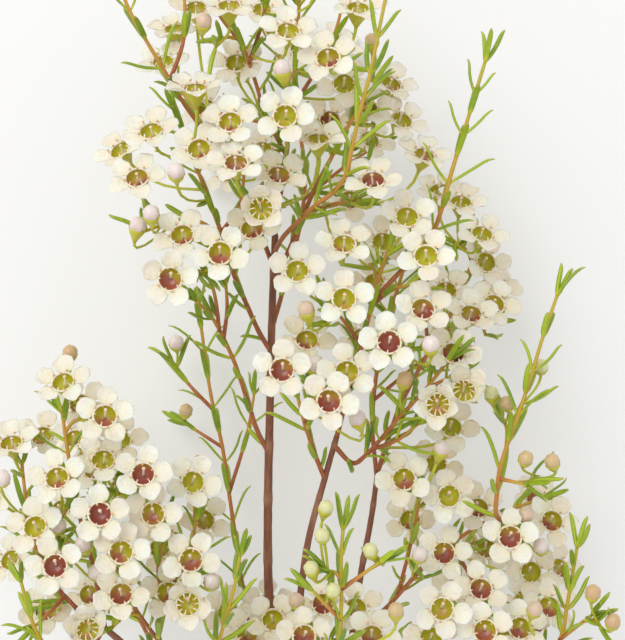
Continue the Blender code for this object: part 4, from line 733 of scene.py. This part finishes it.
petalLook = {
    "cells": 9,
    "halfWidth": 3.05,  # mm
    "halfLength": 3.1,
    "claw": 0.74,  # how much of the inner half there is before it goes under the ring
    "start": 3.1,  # from the middle of the cup
    "thickness": 0.24,
    "edgeLift": 0.95,  # how far the sides curl up
    "tipDroop": 0.45,
    "spoon": 0.4,  # how far the whole margin stands up round the middle
    "waviness": 0.27,
    "raggedness": 0.026,
}


def petalSheet(draw, lift):  # one petal in mm: x across, y outwards from the cup's rim, z up, with its marks
    cells, claw = petalLook["cells"], petalLook["claw"]
    a, b = np.meshgrid(np.linspace(-1, 1, cells + 1), np.linspace(-claw, 1, cells + 1))
    across, out = a * np.sqrt(1 - b**2 / 2), b * np.sqrt(1 - a**2 / 2)
    fromMiddle = across**2 + out**2
    width = petalLook["halfWidth"] * draw.uniform(0.92, 1.05)
    length = petalLook["halfLength"] * draw.uniform(0.95, 1.03)
    heading = np.arctan2(across, out)
    ragged = sum(np.sin(heading * waves + draw.uniform(0, 6)) for waves in (3, 5, 8))
    ragged = ragged * petalLook["raggedness"] * fromMiddle
    x = across * (1 + ragged) * width * (1 - 0.3 * np.clip(-out, 0, 1) ** 1.5)
    y = (out * (1 + np.where(out > 0, ragged, 0)) + claw) * length
    curl = petalLook["edgeLift"] * draw.uniform(0.4, 1.8)
    z = curl * across**2 * (0.6 + 0.4 * out) + 0.14 * (out + 1) ** 2
    z += petalLook["spoon"] * draw.uniform(0.2, 1.3) * fromMiddle**2
    z -= petalLook["tipDroop"] * draw.uniform(-0.6, 1.6) * np.clip(out, 0, 1) ** 3
    z += petalLook["waviness"] * np.sin(3.1 * across + draw.uniform(0, 6)) * (out + 1) * 0.6
    z += petalLook["waviness"] * 0.7 * np.sin(5.3 * out + draw.uniform(0, 6)) * across**2
    hinge = math.atan2(1.0 + 5.2 * lift, 5.5 * (1 - 0.75 * lift)) - 0.16
    turnedY = y * math.cos(hinge) - z * math.sin(hinge)
    turnedZ = y * math.sin(hinge) + z * math.cos(hinge)
    thick = petalLook["thickness"] * (0.35 + 0.65 * np.clip(1 - fromMiddle, 0, 1) ** 0.6)
    tone = np.full_like(out, draw.uniform(0, 1))
    marks = np.stack([(out + claw) / (1 + claw), np.abs(across), tone], -1).reshape(-1, 3)
    top, low = (np.stack([x, turnedY, turnedZ + half], -1).reshape(-1, 3) for half in (thick / 2, -thick / 2))
    side = cells + 1
    sheet = gridFaces(side, side, False)
    faces = sheet + [tuple(corner + side * side for corner in reversed(face)) for face in sheet]
    border = [*range(side), *(i * side + cells for i in range(1, side)),
              *(cells * side + j for j in range(cells - 1, -1, -1)),
              *(i * side for i in range(cells - 1, 0, -1))]
    for here, there in zip(border, border[1:] + border[:1]):
        faces.append((there, here, here + side * side, there + side * side))
    return np.vstack([top, low]), faces, np.vstack([marks, marks])


cupLook = {
    "around": 20,
    "ribDepth": 0.05,
    # (radius, height) in mm from the middle of the floor, up to the rim and down the funnel
    "inside": [(0.25, -2.85), (1.3, -2.75), (2.2, -2.3), (2.8, -1.5), (3.02, -0.6), (3.1, 0.0), (3.2, 0.2)],
    "outside": [(3.3, 0.08), (3.3, -0.5), (3.0, -1.4), (2.55, -2.4), (2.0, -3.4), (1.5, -4.3), (1.05, -5.1),
                (0.75, -5.7), (0.5, -6.3)],
}


def addCup(growth, place, red, shade, redSide):  # the wine colour lies deepest on one side of the bowl
    around, points, marks = cupLook["around"], [], []
    for radius, height in cupLook["inside"]:
        points += ringPoints(radius, height, around)
        depth = min(1.0, max(0.0, -height / 2.9))
        for j in range(around):
            facing = math.cos(math.tau * j / around - redSide)
            blush = red * (0.95 + 0.75 * facing * (1.1 - red * 0.8)) * (0.5 + 0.6 * depth)
            marks.append((depth, min(1.0, max(0.0, blush)), 1.0))
    for i, (radius, height) in enumerate(cupLook["outside"]):
        points += ringPoints(radius, height, around, cupLook["ribDepth"] * min(1, i / 2))
        marks += [(min(1.0, -height / 6.3), 0.35 * red * shade, 0.0)] * around
    rows = len(cupLook["inside"]) + len(cupLook["outside"])
    growth.add(place(points), tubeFaces(rows, around), "cup", marks)


stamenLook = {
    "count": 10,
    "root": 3.18,  # mm from the middle of the cup
    "toothWidth": 0.3,
    "antherRadius": 0.33,
    "reachIn": 0.62,
    "style": [(0.36, -2.9), (0.31, -1.2), (0.28, 0.3), (0.28, 0.72), (0.48, 0.84), (0.52, 1.0), (0.4, 1.15),
              (0.12, 1.2)],
    "ring": [(3.02, -0.35), (3.0, 0.1), (3.1, 0.33), (3.28, 0.37), (3.52, 0.28), (3.58, 0.0)],
}


def addAnther(growth, place, middle, tone):
    around, rows, points = 6, 5, []
    for i in range(rows):
        polar = math.pi * (0.08 + 0.84 * i / (rows - 1))
        ring = ringPoints(math.sin(polar), -math.cos(polar), around)
        points += [middle + Vector(point) * stamenLook["antherRadius"] for point in ring]
    growth.add(place(points), tubeFaces(rows, around), "stamen", [(1.0, 1.0, tone)] * len(points))


def addStamens(growth, place, draw, closeness, lean):  # teeth, anthers, style and ring
    root, around = stamenLook["root"], cupLook["around"]
    for k in range(stamenLook["count"]):
        angle = math.tau * (k + 0.5) / stamenLook["count"] + draw.uniform(-0.05, 0.05)
        out = Vector((math.cos(angle), math.sin(angle), 0))
        cross = Vector((-math.sin(angle), math.cos(angle), 0))
        leanIn = 1.0 if k % 2 or closeness > 0.3 else -0.45  # every second one stands outwards
        reach = stamenLook["reachIn"] * leanIn * draw.uniform(0.7, 1.3) * (1 + 1.1 * closeness)
        up = draw.uniform(0.55, 0.95) + 0.6 * closeness
        points, marks = [], []
        for t in (0.0, 0.4, 0.75, 1.0):
            middle = out * (root - reach * t**1.4) + Vector((0, 0, 0.2 + up * math.sin(t * 1.7)))
            width = stamenLook["toothWidth"] * (1 - 0.62 * t)
            for share, height in ((-1, -0.06), (1, -0.06), (0.7, 0.12), (-0.7, 0.12)):
                points.append(middle + cross * (width * share) + Vector((0, 0, height)))
                marks.append((t * 0.6, 0.0, draw.random()))
        growth.add(place(points), tubeFaces(4, 4), "stamen", marks)
        if draw.random() < (0.95 if leanIn < 0 or closeness > 0.3 else 0.45):
            tip = out * (root - reach * 1.06) + Vector((0, 0, 0.3 + up * math.sin(1.75)))
            addAnther(growth, place, tip, draw.random())
    points, marks = [], []
    for radius, height in stamenLook["style"]:
        rise = height - stamenLook["style"][0][1]
        points += ringPoints(radius, height, 8, lean=(lean[0] * rise, lean[1] * rise))
        marks += [(0.3, 0.0 if height < 0.8 else 0.45, 0.5)] * 8
    growth.add(place(points), tubeFaces(len(stamenLook["style"]), 8), "stamen", marks)
    points = [point for row in stamenLook["ring"] for point in ringPoints(*row, around)]
    last = len(points) - around
    faces = gridFaces(len(stamenLook["ring"]), around, True)
    faces += [(last + j, last + (j + 1) % around, (j + 1) % around, j) for j in range(around)]
    growth.add(place(points), faces, "stamen", [(0.2, 0.12, 0.5)] * len(points))


stalkLook = {
    "shares": (0, 0.15, 0.35, 0.55, 0.75, 0.9, 1.0),
    "swelling": (1.35, 1.05, 1.0, 1.0, 1.05, 1.15),  # at each share but the last
    "sides": 6,
}


def addStalk(growth, head, length, radius, thickEnd):  # length in mm, of the part that is hidden in the bloom
    root, start = head["root"], head["centre"] - head["facing"] * length * mm
    bend = start - head["facing"] * (start - root).length * 0.45
    first = root + (bend - root) * 0.35
    path = [root * (1 - t) ** 3 + first * 3 * t * (1 - t) ** 2 + bend * 3 * t**2 * (1 - t) + start * t**3
            for t in stalkLook["shares"]]
    path = [Vector((point.x, point.y, max(point.z, radius * 1.6))) for point in path]  # it lies on the floor
    radii = [radius * factor for factor in (*stalkLook["swelling"], thickEnd)]
    addTube(growth, path, radii, stalkLook["sides"], "stalk", lambda share: (share, 0.5, 0.5))


def addBloom(growth, head, draw):
    side, over = bloomFrame(head)
    place, lift = placer(head), 1 - head["spread"]
    for i in range(5):
        petalLift = lift * draw.uniform(0.7, 1.2) + draw.uniform(-0.02, 0.07)
        points, faces, marks = petalSheet(draw, min(0.8, petalLift))
        middle = math.tau * (i + 0.5) / 5 + draw.uniform(-0.06, 0.06)
        cos, sin = math.cos(middle), math.sin(middle)
        x, y, z = points[:, 0], points[:, 1] + petalLook["start"], points[:, 2] + 0.03 * (i % 2)
        growth.add(place(np.stack([y * cos - x * sin, y * sin + x * cos, z], -1)), faces, "petal", marks)
    redSide = math.atan2(-over.y, -side.y) + draw.uniform(-0.6, 0.6)
    red = min(1.0, max(0.0, head["red"] + draw.uniform(-0.15, 0.15)))
    addCup(growth, place, red, draw.random(), redSide)
    lean = (side.y * 0.34 + draw.uniform(-0.1, 0.1), over.y * 0.34 + draw.uniform(-0.1, 0.1))
    addStamens(growth, place, draw, 1.0 if head["spread"] < 0.5 else 0.0, lean)
    addStalk(growth, head, 6.2, bloomSizes["stalkRadius"], 1.25)


budLook = {
    "around": 20,
    "rows": 13,
    "fold": 0.05,
    "ribDepth": 0.04,
    # (radius, height) of the calyx, in radii of the bud
    "calyx": [(0.6, -0.35), (0.86, -0.3), (0.98, -0.38), (0.99, -0.6), (0.85, -1.0), (0.6, -1.5),
              (0.36, -2.0), (0.22, -2.4)],
}


def addBud(growth, head, draw):
    size, around, rows, calyx = head["size"], budLook["around"], budLook["rows"], budLook["calyx"]
    radius, place = budRadius(size) / mm, placer(head)
    points, marks = [], []
    for i in range(rows):  # the ball of folded petals
        polar = math.pi * (0.03 + 0.62 * i / (rows - 1))
        for j in range(around):
            angle = math.tau * j / around
            fold = budLook["fold"] * math.cos(5 * angle + 2.2 * polar) * math.sin(polar)
            reach = radius * (0.98 + fold)
            points.append((reach * math.sin(polar) * math.cos(angle),
                           reach * math.sin(polar) * math.sin(angle), reach * math.cos(polar)))
            marks.append((polar / math.pi, size, draw.random() * 0.2 + head["turn"] / 8))
    growth.add(place(points), gridFaces(rows, around, True) + [tuple(reversed(range(around)))], "bud", marks)
    points, marks = [], []
    for i, (share, height) in enumerate(calyx):
        points += ringPoints(radius * share, radius * height, around, budLook["ribDepth"])
        marks += [(min(1.0, 0.1 + i / 8), 0.1, 0.0)] * around
    growth.add(place(points), tubeFaces(len(calyx), around), "cup", marks)
    addStalk(growth, head, radius * 2.25, bloomSizes["stalkRadius"] * 0.9, 1.2)


leafLook = {
    # (share of the length, width) from the foot to the tip
    "outline": ((0.0, 0.5), (0.06, 0.72), (0.16, 0.95), (0.35, 1.0), (0.58, 1.0), (0.78, 0.92), (0.91, 0.7),
                (0.98, 0.4), (1.02, 0.12)),
    "section": ((-1.0, 0.35), (-0.35, 0.12), (0.35, 0.12), (1.0, 0.35), (0.55, -0.75), (-0.55, -0.75)),
    "hook": 0.05,
    "bow": (-0.06, 0.1),
}


def leafAim(frame, along, quarter, tilt):  # away from the twig, along the leaf, across it and off its face
    angle = math.pi / 4 + math.pi / 2 * quarter
    out = frame[0] * math.cos(angle) + frame[1] * math.sin(angle)
    heading = along * math.cos(tilt) + out * math.sin(tilt)
    across = along.cross(out)
    return out, heading, across, heading.cross(across)


def addLeaf(growth, node, aim, length, draw):
    out, heading, across, over = aim
    start, bow, tone = node + out * leafSizes["footOut"] * 0.5, draw.uniform(*leafLook["bow"]), draw.random()
    points, marks = [], []
    for share, width in leafLook["outline"]:
        hook = leafLook["hook"] * max(0.0, (share - 0.8) / 0.2) ** 2
        middle = start + heading * length * share - over * length * (bow * math.sin(share * math.pi) + hook)
        for x, y in leafLook["section"]:
            points.append(middle + across * x * leafSizes["halfWidth"] * width
                          - over * y * leafSizes["thickness"] * (0.4 + 0.6 * width))
            marks.append((min(share, 1.0), abs(x), tone))
    growth.add(points, tubeFaces(len(leafLook["outline"]), len(leafLook["section"])), "leaf", marks)


def addTwigs(growth, name):
    greenFrom, greening = (0.3, 0.8) if "shoot" in sprays[name] else (0.15, 0.6)
    for p, path in enumerate(twigPaths[name]):
        fine = curved(path, 6)
        thick = twigSizes["radius"] * (0.85 if p else 1.0)
        bumps = random.Random(f"{name} twig {p}")
        radii = [thick * (1 - 0.35 * i / len(fine)) * bumps.uniform(0.94, 1.06) for i in range(len(fine))]
        addTube(growth, fine, radii, 8, "twig", lambda share: (share, greenFrom + greening * share, 0.5))
    for twig, _ in clusters[name]:
        if twig is not None:
            fine = curved(twig, 6)
            radii = [twigSizes["sideRadius"] - 0.08 * mm * i / len(fine) for i in range(len(fine))]
            addTube(growth, fine, radii, 8, "twig", lambda share: (share, 0.7 + 0.25 * share, 0.5))


def addLeaves(growth, name):  # the leaves that the solid has
    found = 0
    for p, points in enumerate(twigPaths[name]):
        if p:  # a side twig starts just outside the one that it leaves
            points = [points[0] + (points[1] - points[0]).normalized() * 0.9 * mm, *points[1:]]
        frames = turnedFrames(points)
        for k, leaves in leafNodes[name][p].items():
            for quarter, tilt, length in leaves:
                aim = leafAim(frames[k], alongAt(points, k), quarter, tilt)
                out, heading, _, over = aim
                for grown in (length, length * 0.75):
                    tip = points[k] + out * leafSizes["footOut"] + heading * grown - over * grown * 0.05
                    if solids[name].near(tip, "leaf"):
                        draw = random.Random(f"{name} leaf {p} {k} {quarter}")
                        addLeaf(growth, points[k], aim, grown, draw)
                        found += 1
                        break
    return found


youngLook = {
    "length": (6.0, 11.0),  # mm
    "tilt": (0.4, 0.9),
    "clearance": 0.5,
    "perFork": 1,
    "perTip": 3,
    "twigSpacing": 9.0,
    "tries": 8,
}


def hasRoom(fork, heading, length):
    tip = fork + heading * length
    if not all(low < value < high for low, value, high in zip(cadBox[0], tip, cadBox[1])):
        return False
    if crowd.ray_cast(fork + heading * length * 0.25, heading, length * 0.85)[0] is not None:
        return False
    return all(crowd.find_nearest(fork + heading * length * share)[3] > youngLook["clearance"] * mm
               for share in (0.5, 0.75, 1.0))


def addYoungLeaves(growth, name):  # short leaves along the flowering twigs, where there is room
    draw = random.Random(f"{name} young leaves")
    perFork, forks, grown = youngLook["perFork"], [], 0
    for path in twigPaths[name]:
        run = draw.uniform(3, 6) * mm
        for a, b in zip(path, path[1:]):
            length = (b - a).length
            while run < length and name.startswith("spray"):
                forks.append((a + (b - a) * (run / length), (b - a) / length, perFork, 1.0))
                run += youngLook["twigSpacing"] * draw.uniform(0.8, 1.3) * mm
            run -= length
        forks.append((path[-1], (path[-1] - path[-2]).normalized(), youngLook["perTip"], 0.5))
    for twig, heads in clusters[name]:
        ways = [(head["root"], head["centre"] - head["root"]) for head in heads]
        if twig is not None:
            ways += [(end, end - start) for start, end in zip(twig, twig[1:])]
        forks += [(fork, way.normalized(), perFork, 1.0) for fork, way in ways]
    for fork, along, wanted, openness in forks:
        side = along.orthogonal().normalized()
        sides = (side, along.cross(side))
        made, quarter = 0, draw.uniform(0, 4)
        for _ in range(youngLook["tries"]):
            quarter += draw.uniform(0.7, 1.3)
            length = draw.uniform(*youngLook["length"]) * mm
            aim = leafAim(sides, along, quarter, draw.uniform(*youngLook["tilt"]) * openness)
            if hasRoom(fork, aim[1], length):
                addLeaf(growth, fork - aim[0] * leafSizes["footOut"] * 0.4, aim, length, draw)
                made += 1
                if made == wanted:
                    break
        grown += made
    return grown


class Socket:  # a node's output, that shader sums are written with
    def __init__(self, tree, link):
        self.tree, self.link = tree, link

    def maths(self, operation, *values, clamp=False):
        node = self.tree.nodes.new("ShaderNodeMath")
        node.operation, node.use_clamp = operation, clamp
        for value, socket in zip(values, node.inputs):
            if isinstance(value, Socket):
                self.tree.links.new(value.link, socket)
            else:
                socket.default_value = value
        return Socket(self.tree, node.outputs[0])

    def __add__(self, other):
        return self.maths("ADD", self, other)

    def __radd__(self, other):
        return self.maths("ADD", other, self)

    def __sub__(self, other):
        return self.maths("SUBTRACT", self, other)

    def __rsub__(self, other):
        return self.maths("SUBTRACT", other, self)

    def __mul__(self, other):
        return self.maths("MULTIPLY", self, other)

    def __rmul__(self, other):
        return self.maths("MULTIPLY", other, self)

    def __pow__(self, other):
        return self.maths("POWER", self, other)

    def held(self):  # kept between 0 and 1
        return self.maths("ADD", self, 0.0, clamp=True)


class Finish:  # one material: its shader, and one method for any other node
    def __init__(self, name, **constants):
        self.material = bpy.data.materials.new(name)
        self.material.use_nodes = True
        self.tree = self.material.node_tree
        self.shader = self.tree.nodes["Principled BSDF"]
        for socket, value in constants.items():
            self.shader.inputs[socket.replace("_", " ")].default_value = value
        materials[name] = self.material

    def node(self, kind, settings=(), out=0, **values):  # values go to the inputs by name, or i and a number
        node = self.tree.nodes.new(kind)
        for setting, value in dict(settings).items():
            setattr(node, setting, value)
        for name, value in values.items():
            isNumber = name[0] == "i" and name[1:].isdigit()
            socket = node.inputs[int(name[1:]) if isNumber else name.replace("_", " ")]
            if isinstance(value, Socket):
                self.tree.links.new(value.link, socket)
            else:
                socket.default_value = value
        return Socket(self.tree, node.outputs[out])

    def marks(self):  # the three marks painted on the mesh
        colour = self.node("ShaderNodeAttribute", {"attribute_name": "marks"})
        split = self.node("ShaderNodeSeparateColor", Color=colour)
        return [Socket(self.tree, output) for output in split.link.node.outputs]

    def place(self, stretch=None):  # the place on the piece, in metres
        place = self.node("ShaderNodeTexCoord", out=3)
        return self.node("ShaderNodeMapping", Vector=place, Scale=(1.0, stretch, 1.0)) if stretch else place

    def noise(self, scale, detail=3.0, roughness=0.5, vector=None):
        return self.node("ShaderNodeTexNoise", Vector=vector or self.place(), Scale=scale, Detail=detail,
                         Roughness=roughness)

    def mix(self, factor, one, other):
        one, other = (value if isinstance(value, Socket) else (*value, 1) for value in (one, other))
        return self.node("ShaderNodeMix", {"data_type": "RGBA"}, out=2, i0=factor, i6=one, i7=other)

    def feed(self, **links):
        for name, value in links.items():
            self.tree.links.new(value.link, self.shader.inputs[name.replace("_", " ")])

    def bump(self, height, strength, distance):
        self.feed(Normal=self.node("ShaderNodeBump", Height=height, Strength=strength, Distance=distance))


petalFinish = {
    "white": (0.87, 0.84, 0.76),
    "cream": (0.80, 0.71, 0.49),
    "blush": (0.80, 0.71, 0.60),
    "throat": (0.62, 0.56, 0.30),
}
petal = Finish("petal", Subsurface_Weight=0.25, Subsurface_Scale=0.002, Sheen_Weight=0.05,
               Specular_IOR_Level=0.35)
outward, _, tone = petal.marks()
veins = petal.noise(900.0, 2.0)
blotch = petal.noise(260.0, 3.0)
base = petal.mix((tone * 0.7 + blotch * 0.6 - 0.15).held(), petalFinish["white"], petalFinish["blush"])
nearCup = ((1.0 - outward * 1.5).held() ** 1.4 * (0.75 + blotch * 0.4)).held()
warm = petal.mix((nearCup * 0.85).held(), base, petalFinish["cream"])
inThroat = ((1.0 - outward * 5.5).held() ** 2.0 * 0.7).held()
petal.feed(Base_Color=petal.mix(inThroat, warm, petalFinish["throat"]), Roughness=(0.42 + veins * 0.2).held())
petal.bump(veins * 0.6 + blotch, 0.75, 0.0008)

cupFinish = {
    "olive": (0.42, 0.36, 0.012),
    "lime": (0.58, 0.56, 0.03),
    "maroon": (0.28, 0.06, 0.042),
    "rose": (0.52, 0.17, 0.10),
}
cup = Finish("cup", Coat_Weight=0.3, Coat_Roughness=0.15)
depth, red, inner = cup.marks()
speckle = cup.noise(1300.0, 4.0, 0.6)
cloud = cup.noise(420.0, 2.0)
green = cup.mix((cloud * 1.3 - 0.1 + depth * 0.2).held(), cupFinish["olive"], cupFinish["lime"])
wine = cup.mix((1.45 - red * 1.5 + speckle * 0.3).held(), cupFinish["maroon"], cupFinish["rose"])
blush = ((red * 1.9 + speckle * 0.35 - 0.72) * 1.5).held()
outerRed = ((speckle * 1.2 + cloud * 0.5 - 1.0) * 2.0 * red + (depth - 0.72) * 1.6 * (1.0 - inner)).held()
cup.feed(Base_Color=cup.mix((blush * inner + outerRed * 0.55 * (1.0 - inner)).held(), green, wine),
         Roughness=(0.2 + speckle * 0.25 + (1.0 - inner) * 0.2).held())
cup.bump(speckle + cloud, 0.3, 0.00015)

stamenFinish = {"ivory": (0.88, 0.83, 0.66), "pink": (0.66, 0.34, 0.28), "anther": (0.74, 0.42, 0.23)}
stamen = Finish("stamen", Subsurface_Weight=0.1, Subsurface_Scale=0.001)
along, pinkness, _ = stamen.marks()
grain = stamen.noise(2200.0, 2.0)
filament = stamen.mix((pinkness * 1.2).held(), stamenFinish["ivory"], stamenFinish["pink"])
stamen.feed(Base_Color=stamen.mix(((along - 0.8) * 5.0).held(), filament, stamenFinish["anther"]),
            Roughness=(0.4 + grain * 0.2).held())
stamen.bump(grain, 0.2, 0.0001)

budFinish = {
    "pearl": (0.76, 0.68, 0.64),
    "pink": (0.66, 0.42, 0.36),
    "tan": (0.60, 0.40, 0.21),
    "young": (0.66, 0.66, 0.34),
}
bud = Finish("bud", Coat_Weight=0.15, Subsurface_Weight=0.1, Subsurface_Scale=0.002)
polar, ripeness, _ = bud.marks()
freckle = bud.noise(1500.0, 3.0, 0.6)
smudge = bud.noise(330.0, 2.0)
pinkness = (freckle * 0.7 + polar * 1.1 + smudge * 0.6 - 0.85).held()
ripe = bud.mix(pinkness, budFinish["pearl"], budFinish["pink"])
aged = bud.mix(((0.88 - ripeness) * 8.0).held(), ripe, budFinish["tan"])
bud.feed(Base_Color=bud.mix(((0.62 - ripeness) * 9.0).held(), aged, budFinish["young"]),
         Roughness=(0.28 + freckle * 0.2).held())
bud.bump(freckle + smudge, 0.3, 0.0002)

leafFinish = {
    "deep": (0.10, 0.22, 0.012),
    "fresh": (0.38, 0.50, 0.02),
    "foot": (0.58, 0.56, 0.04),
    "tip": (0.52, 0.44, 0.10),
}
leaf = Finish("leaf", Coat_Weight=0.1, Specular_IOR_Level=0.4)
share, edge, tone = leaf.marks()
mottle = leaf.noise(700.0, 4.0, 0.6)
body = leaf.mix((tone * 0.8 + mottle * 0.7 - 0.1).held(), leafFinish["deep"], leafFinish["fresh"])
rimmed = leaf.mix(((edge - 0.6) * 1.6).held(), body, leafFinish["fresh"])
footed = leaf.mix((1.0 - share * 4.0).held(), rimmed, leafFinish["foot"])
leaf.feed(Base_Color=leaf.mix(((share - 0.88) * 8.0).held(), footed, leafFinish["tip"]),
          Roughness=(0.34 + mottle * 0.2).held())
leaf.bump(mottle, 0.35, 0.0002)

twigFinish = {
    "rust": (0.54, 0.17, 0.05),
    "umber": (0.20, 0.05, 0.024),
    "green": (0.46, 0.42, 0.035),
    "gold": (0.60, 0.30, 0.045),
}
twig = Finish("twig")
_, greenness, _ = twig.marks()
streak = twig.noise(1600.0, 4.0, 0.65, twig.place(0.22))
patch = twig.noise(220.0, 2.0)
woody = twig.mix((streak * 1.6 - 0.45 + greenness * 0.7).held(), twigFinish["umber"], twigFinish["rust"])
golden = twig.mix(((greenness - 0.35) * 2.2).held(), woody, twigFinish["gold"])
isGreen = (greenness * 1.7 + patch * 0.9 - 1.45).held()
twig.feed(Base_Color=twig.mix(isGreen, golden, twigFinish["green"]), Roughness=(0.4 + streak * 0.3).held())
twig.bump(streak, 0.5, 0.0003)

stalkFinish = {"green": (0.50, 0.54, 0.03), "russet": (0.56, 0.32, 0.06)}
stalk = Finish("stalk")
share, _, _ = stalk.marks()
fleck = stalk.noise(900.0, 3.0)
redness = (fleck * 1.5 - 0.45 - share * 0.4).held()
stalk.feed(Base_Color=stalk.mix(redness, stalkFinish["green"], stalkFinish["russet"]),
           Roughness=(0.38 + fleck * 0.2).held())
stalk.bump(fleck, 0.25, 0.0002)

barkFinish = {
    "dark": (0.105, 0.036, 0.024),
    "brown": (0.34, 0.125, 0.064),
    "pale": (0.42, 0.23, 0.13),
    "cut": (0.62, 0.50, 0.30),
}
bark = Finish("bark")
_, knotted, isCut = bark.marks()
stretched = bark.place(0.12)
fibre = bark.noise(1400.0, 6.0, 0.7, stretched)
flake = bark.noise(300.0, 4.0, 0.6, stretched)
brown = bark.mix((fibre * 1.9 - 0.45).held(), barkFinish["dark"], barkFinish["brown"])
peeled = bark.mix(((flake - 0.55) * 4.0).held(), brown, barkFinish["pale"])
knots = bark.mix((knotted * 0.5).held(), peeled, barkFinish["pale"])
bark.feed(Base_Color=bark.mix(isCut, knots, barkFinish["cut"]), Roughness=(0.55 + fibre * 0.3).held())
bark.bump(fibre * 0.7 + flake, 0.7, 0.0005)
print("finishes made:", len(materials))

corners, sides = [], []
for node in sprays:
    mesh = frame["nodes"][node].data
    sides += [[corner + len(corners) for corner in face.vertices] for face in mesh.polygons]
    corners += [vertex.co.copy() for vertex in mesh.vertices]
crowd = BVHTree.FromPolygons(corners, sides)  # all sprays together, so that young leaves keep clear of them
for name in sprays:
    growth = Growth()
    addTwigs(growth, name)
    leaves = addLeaves(growth, name) + addYoungLeaves(growth, name)
    carried = [head for _, group in clusters[name] for head in group]
    for head in carried:
        addHead = addBloom if head["sort"] == "bloom" else addBud
        addHead(growth, head, random.Random(f"{name} {head['place']}"))
    first, *rest = name.split("_")
    made = growth.piece(first + "".join(word.capitalize() for word in rest), name)
    print(f"{name}: {leaves} leaves, {len(carried)} heads, {len(made.data.polygons)} faces")

stemLook = {
    "around": 16,
    "perSpan": 10,
    "knotEvery": 17 * mm,
    "knotRise": 0.16,
    "bumps": 0.03,
    "roughness": 0.05,
    "ripple": 900,  # turns the rough pattern by the limb's length, so that no two limbs match
}
growth = Growth()
for (limbName, (_, (thick, thin))), path in zip(limbs.items(), limbPaths):
    draw = random.Random(limbName)
    fine = curved(path, stemLook["perSpan"])
    run, stations = 0.0, []
    for i, point in enumerate(fine):
        run += (point - fine[i - 1]).length if i else 0.0
        knot = max(0.0, math.cos(math.tau * run / stemLook["knotEvery"])) ** 12
        share = i / (len(fine) - 1)
        uneven = 1 + stemLook["knotRise"] * knot + draw.uniform(-stemLook["bumps"], stemLook["bumps"])
        stations.append((point, knot, (thick + (thin - thick) * share) * mm * uneven))
    around, points, marks = stemLook["around"], [], []
    for (point, knot, radius), (side, over) in zip(stations, turnedFrames(fine)):
        for j in range(around):
            angle = math.tau * j / around
            ripple = math.sin(3 * angle + run * stemLook["ripple"])
            reach = radius * (1 + stemLook["roughness"] * ripple * draw.uniform(0.4, 1.0))
            points.append(point + side * (math.cos(angle) * reach) + over * (math.sin(angle) * reach))
        marks += [(0.5, knot, 0.0)] * around
    points = [Vector((point.x, point.y, max(point.z, 0.0))) for point in points]
    *walls, firstCap, lastCap = tubeFaces(len(fine), around)
    growth.add(points, [*walls, lastCap], "bark", marks)
    isCut = 1.0 if limbName == "trunk" else 0.0  # the slanting cut
    growth.add(points[:around], [firstCap], "bark", [(0.5, 0.0, isCut)] * around)
made = growth.piece("woodyStem", "main_stem")
print("woodyStem:", len(made.data.polygons), "faces")

stageLook = {
    "floor": (0.62, 0.623, 0.625),
    "glow": 0.25,
    "lightPlace": (-0.75, 0.95, 1.75),
    "lightAim": (0, 0.08, 0.05),
    "lightSize": 1.2,
    "lightPower": 17.0,
    "skyStrength": 0.87,
    "lens": 36 * 450 / 179.2,
}
bpy.ops.mesh.primitive_plane_add(size=6, location=(0, 0, -0.4 * mm))
floor = bpy.context.object
floor.name = "paleFloor"
pale = Finish("paleFloor", Base_Color=(*stageLook["floor"], 1), Emission_Color=(1, 0.995, 0.99, 1),
              Emission_Strength=stageLook["glow"])
pale.feed(Roughness=(0.85 + pale.noise(3.0, 1.0) * 0.1).held())
floor.data.materials.append(pale.material)

world = bpy.data.worlds.new("studio")
bpy.context.scene.world = world
world.use_nodes = True
sky = world.node_tree.nodes["Background"]
sky.inputs["Color"].default_value = (1.0, 0.995, 0.985, 1)
sky.inputs["Strength"].default_value = stageLook["skyStrength"]
soft = bpy.data.lights.new("softLight", "AREA")
soft.size, soft.energy, soft.color = stageLook["lightSize"], stageLook["lightPower"], (1.0, 0.985, 0.96)
softLight = bpy.data.objects.new("softLight", soft)
softLight.location = stageLook["lightPlace"]
shine = Vector(stageLook["lightAim"]) - softLight.location
softLight.rotation_euler = shine.to_track_quat("-Z", "Y").to_euler()
bpy.context.scene.collection.objects.link(softLight)

eye = bpy.data.cameras.new("eye")
eye.lens = stageLook["lens"]
camera = bpy.data.objects.new("eye", eye)
camera.location = (layout["headShift"].x, layout["headShift"].y, layout["eyeHeight"])
bpy.context.scene.collection.objects.link(camera)
bpy.context.scene.camera = camera
bpy.context.scene.view_settings.view_transform = "Standard"

bpy.context.view_layer.update()
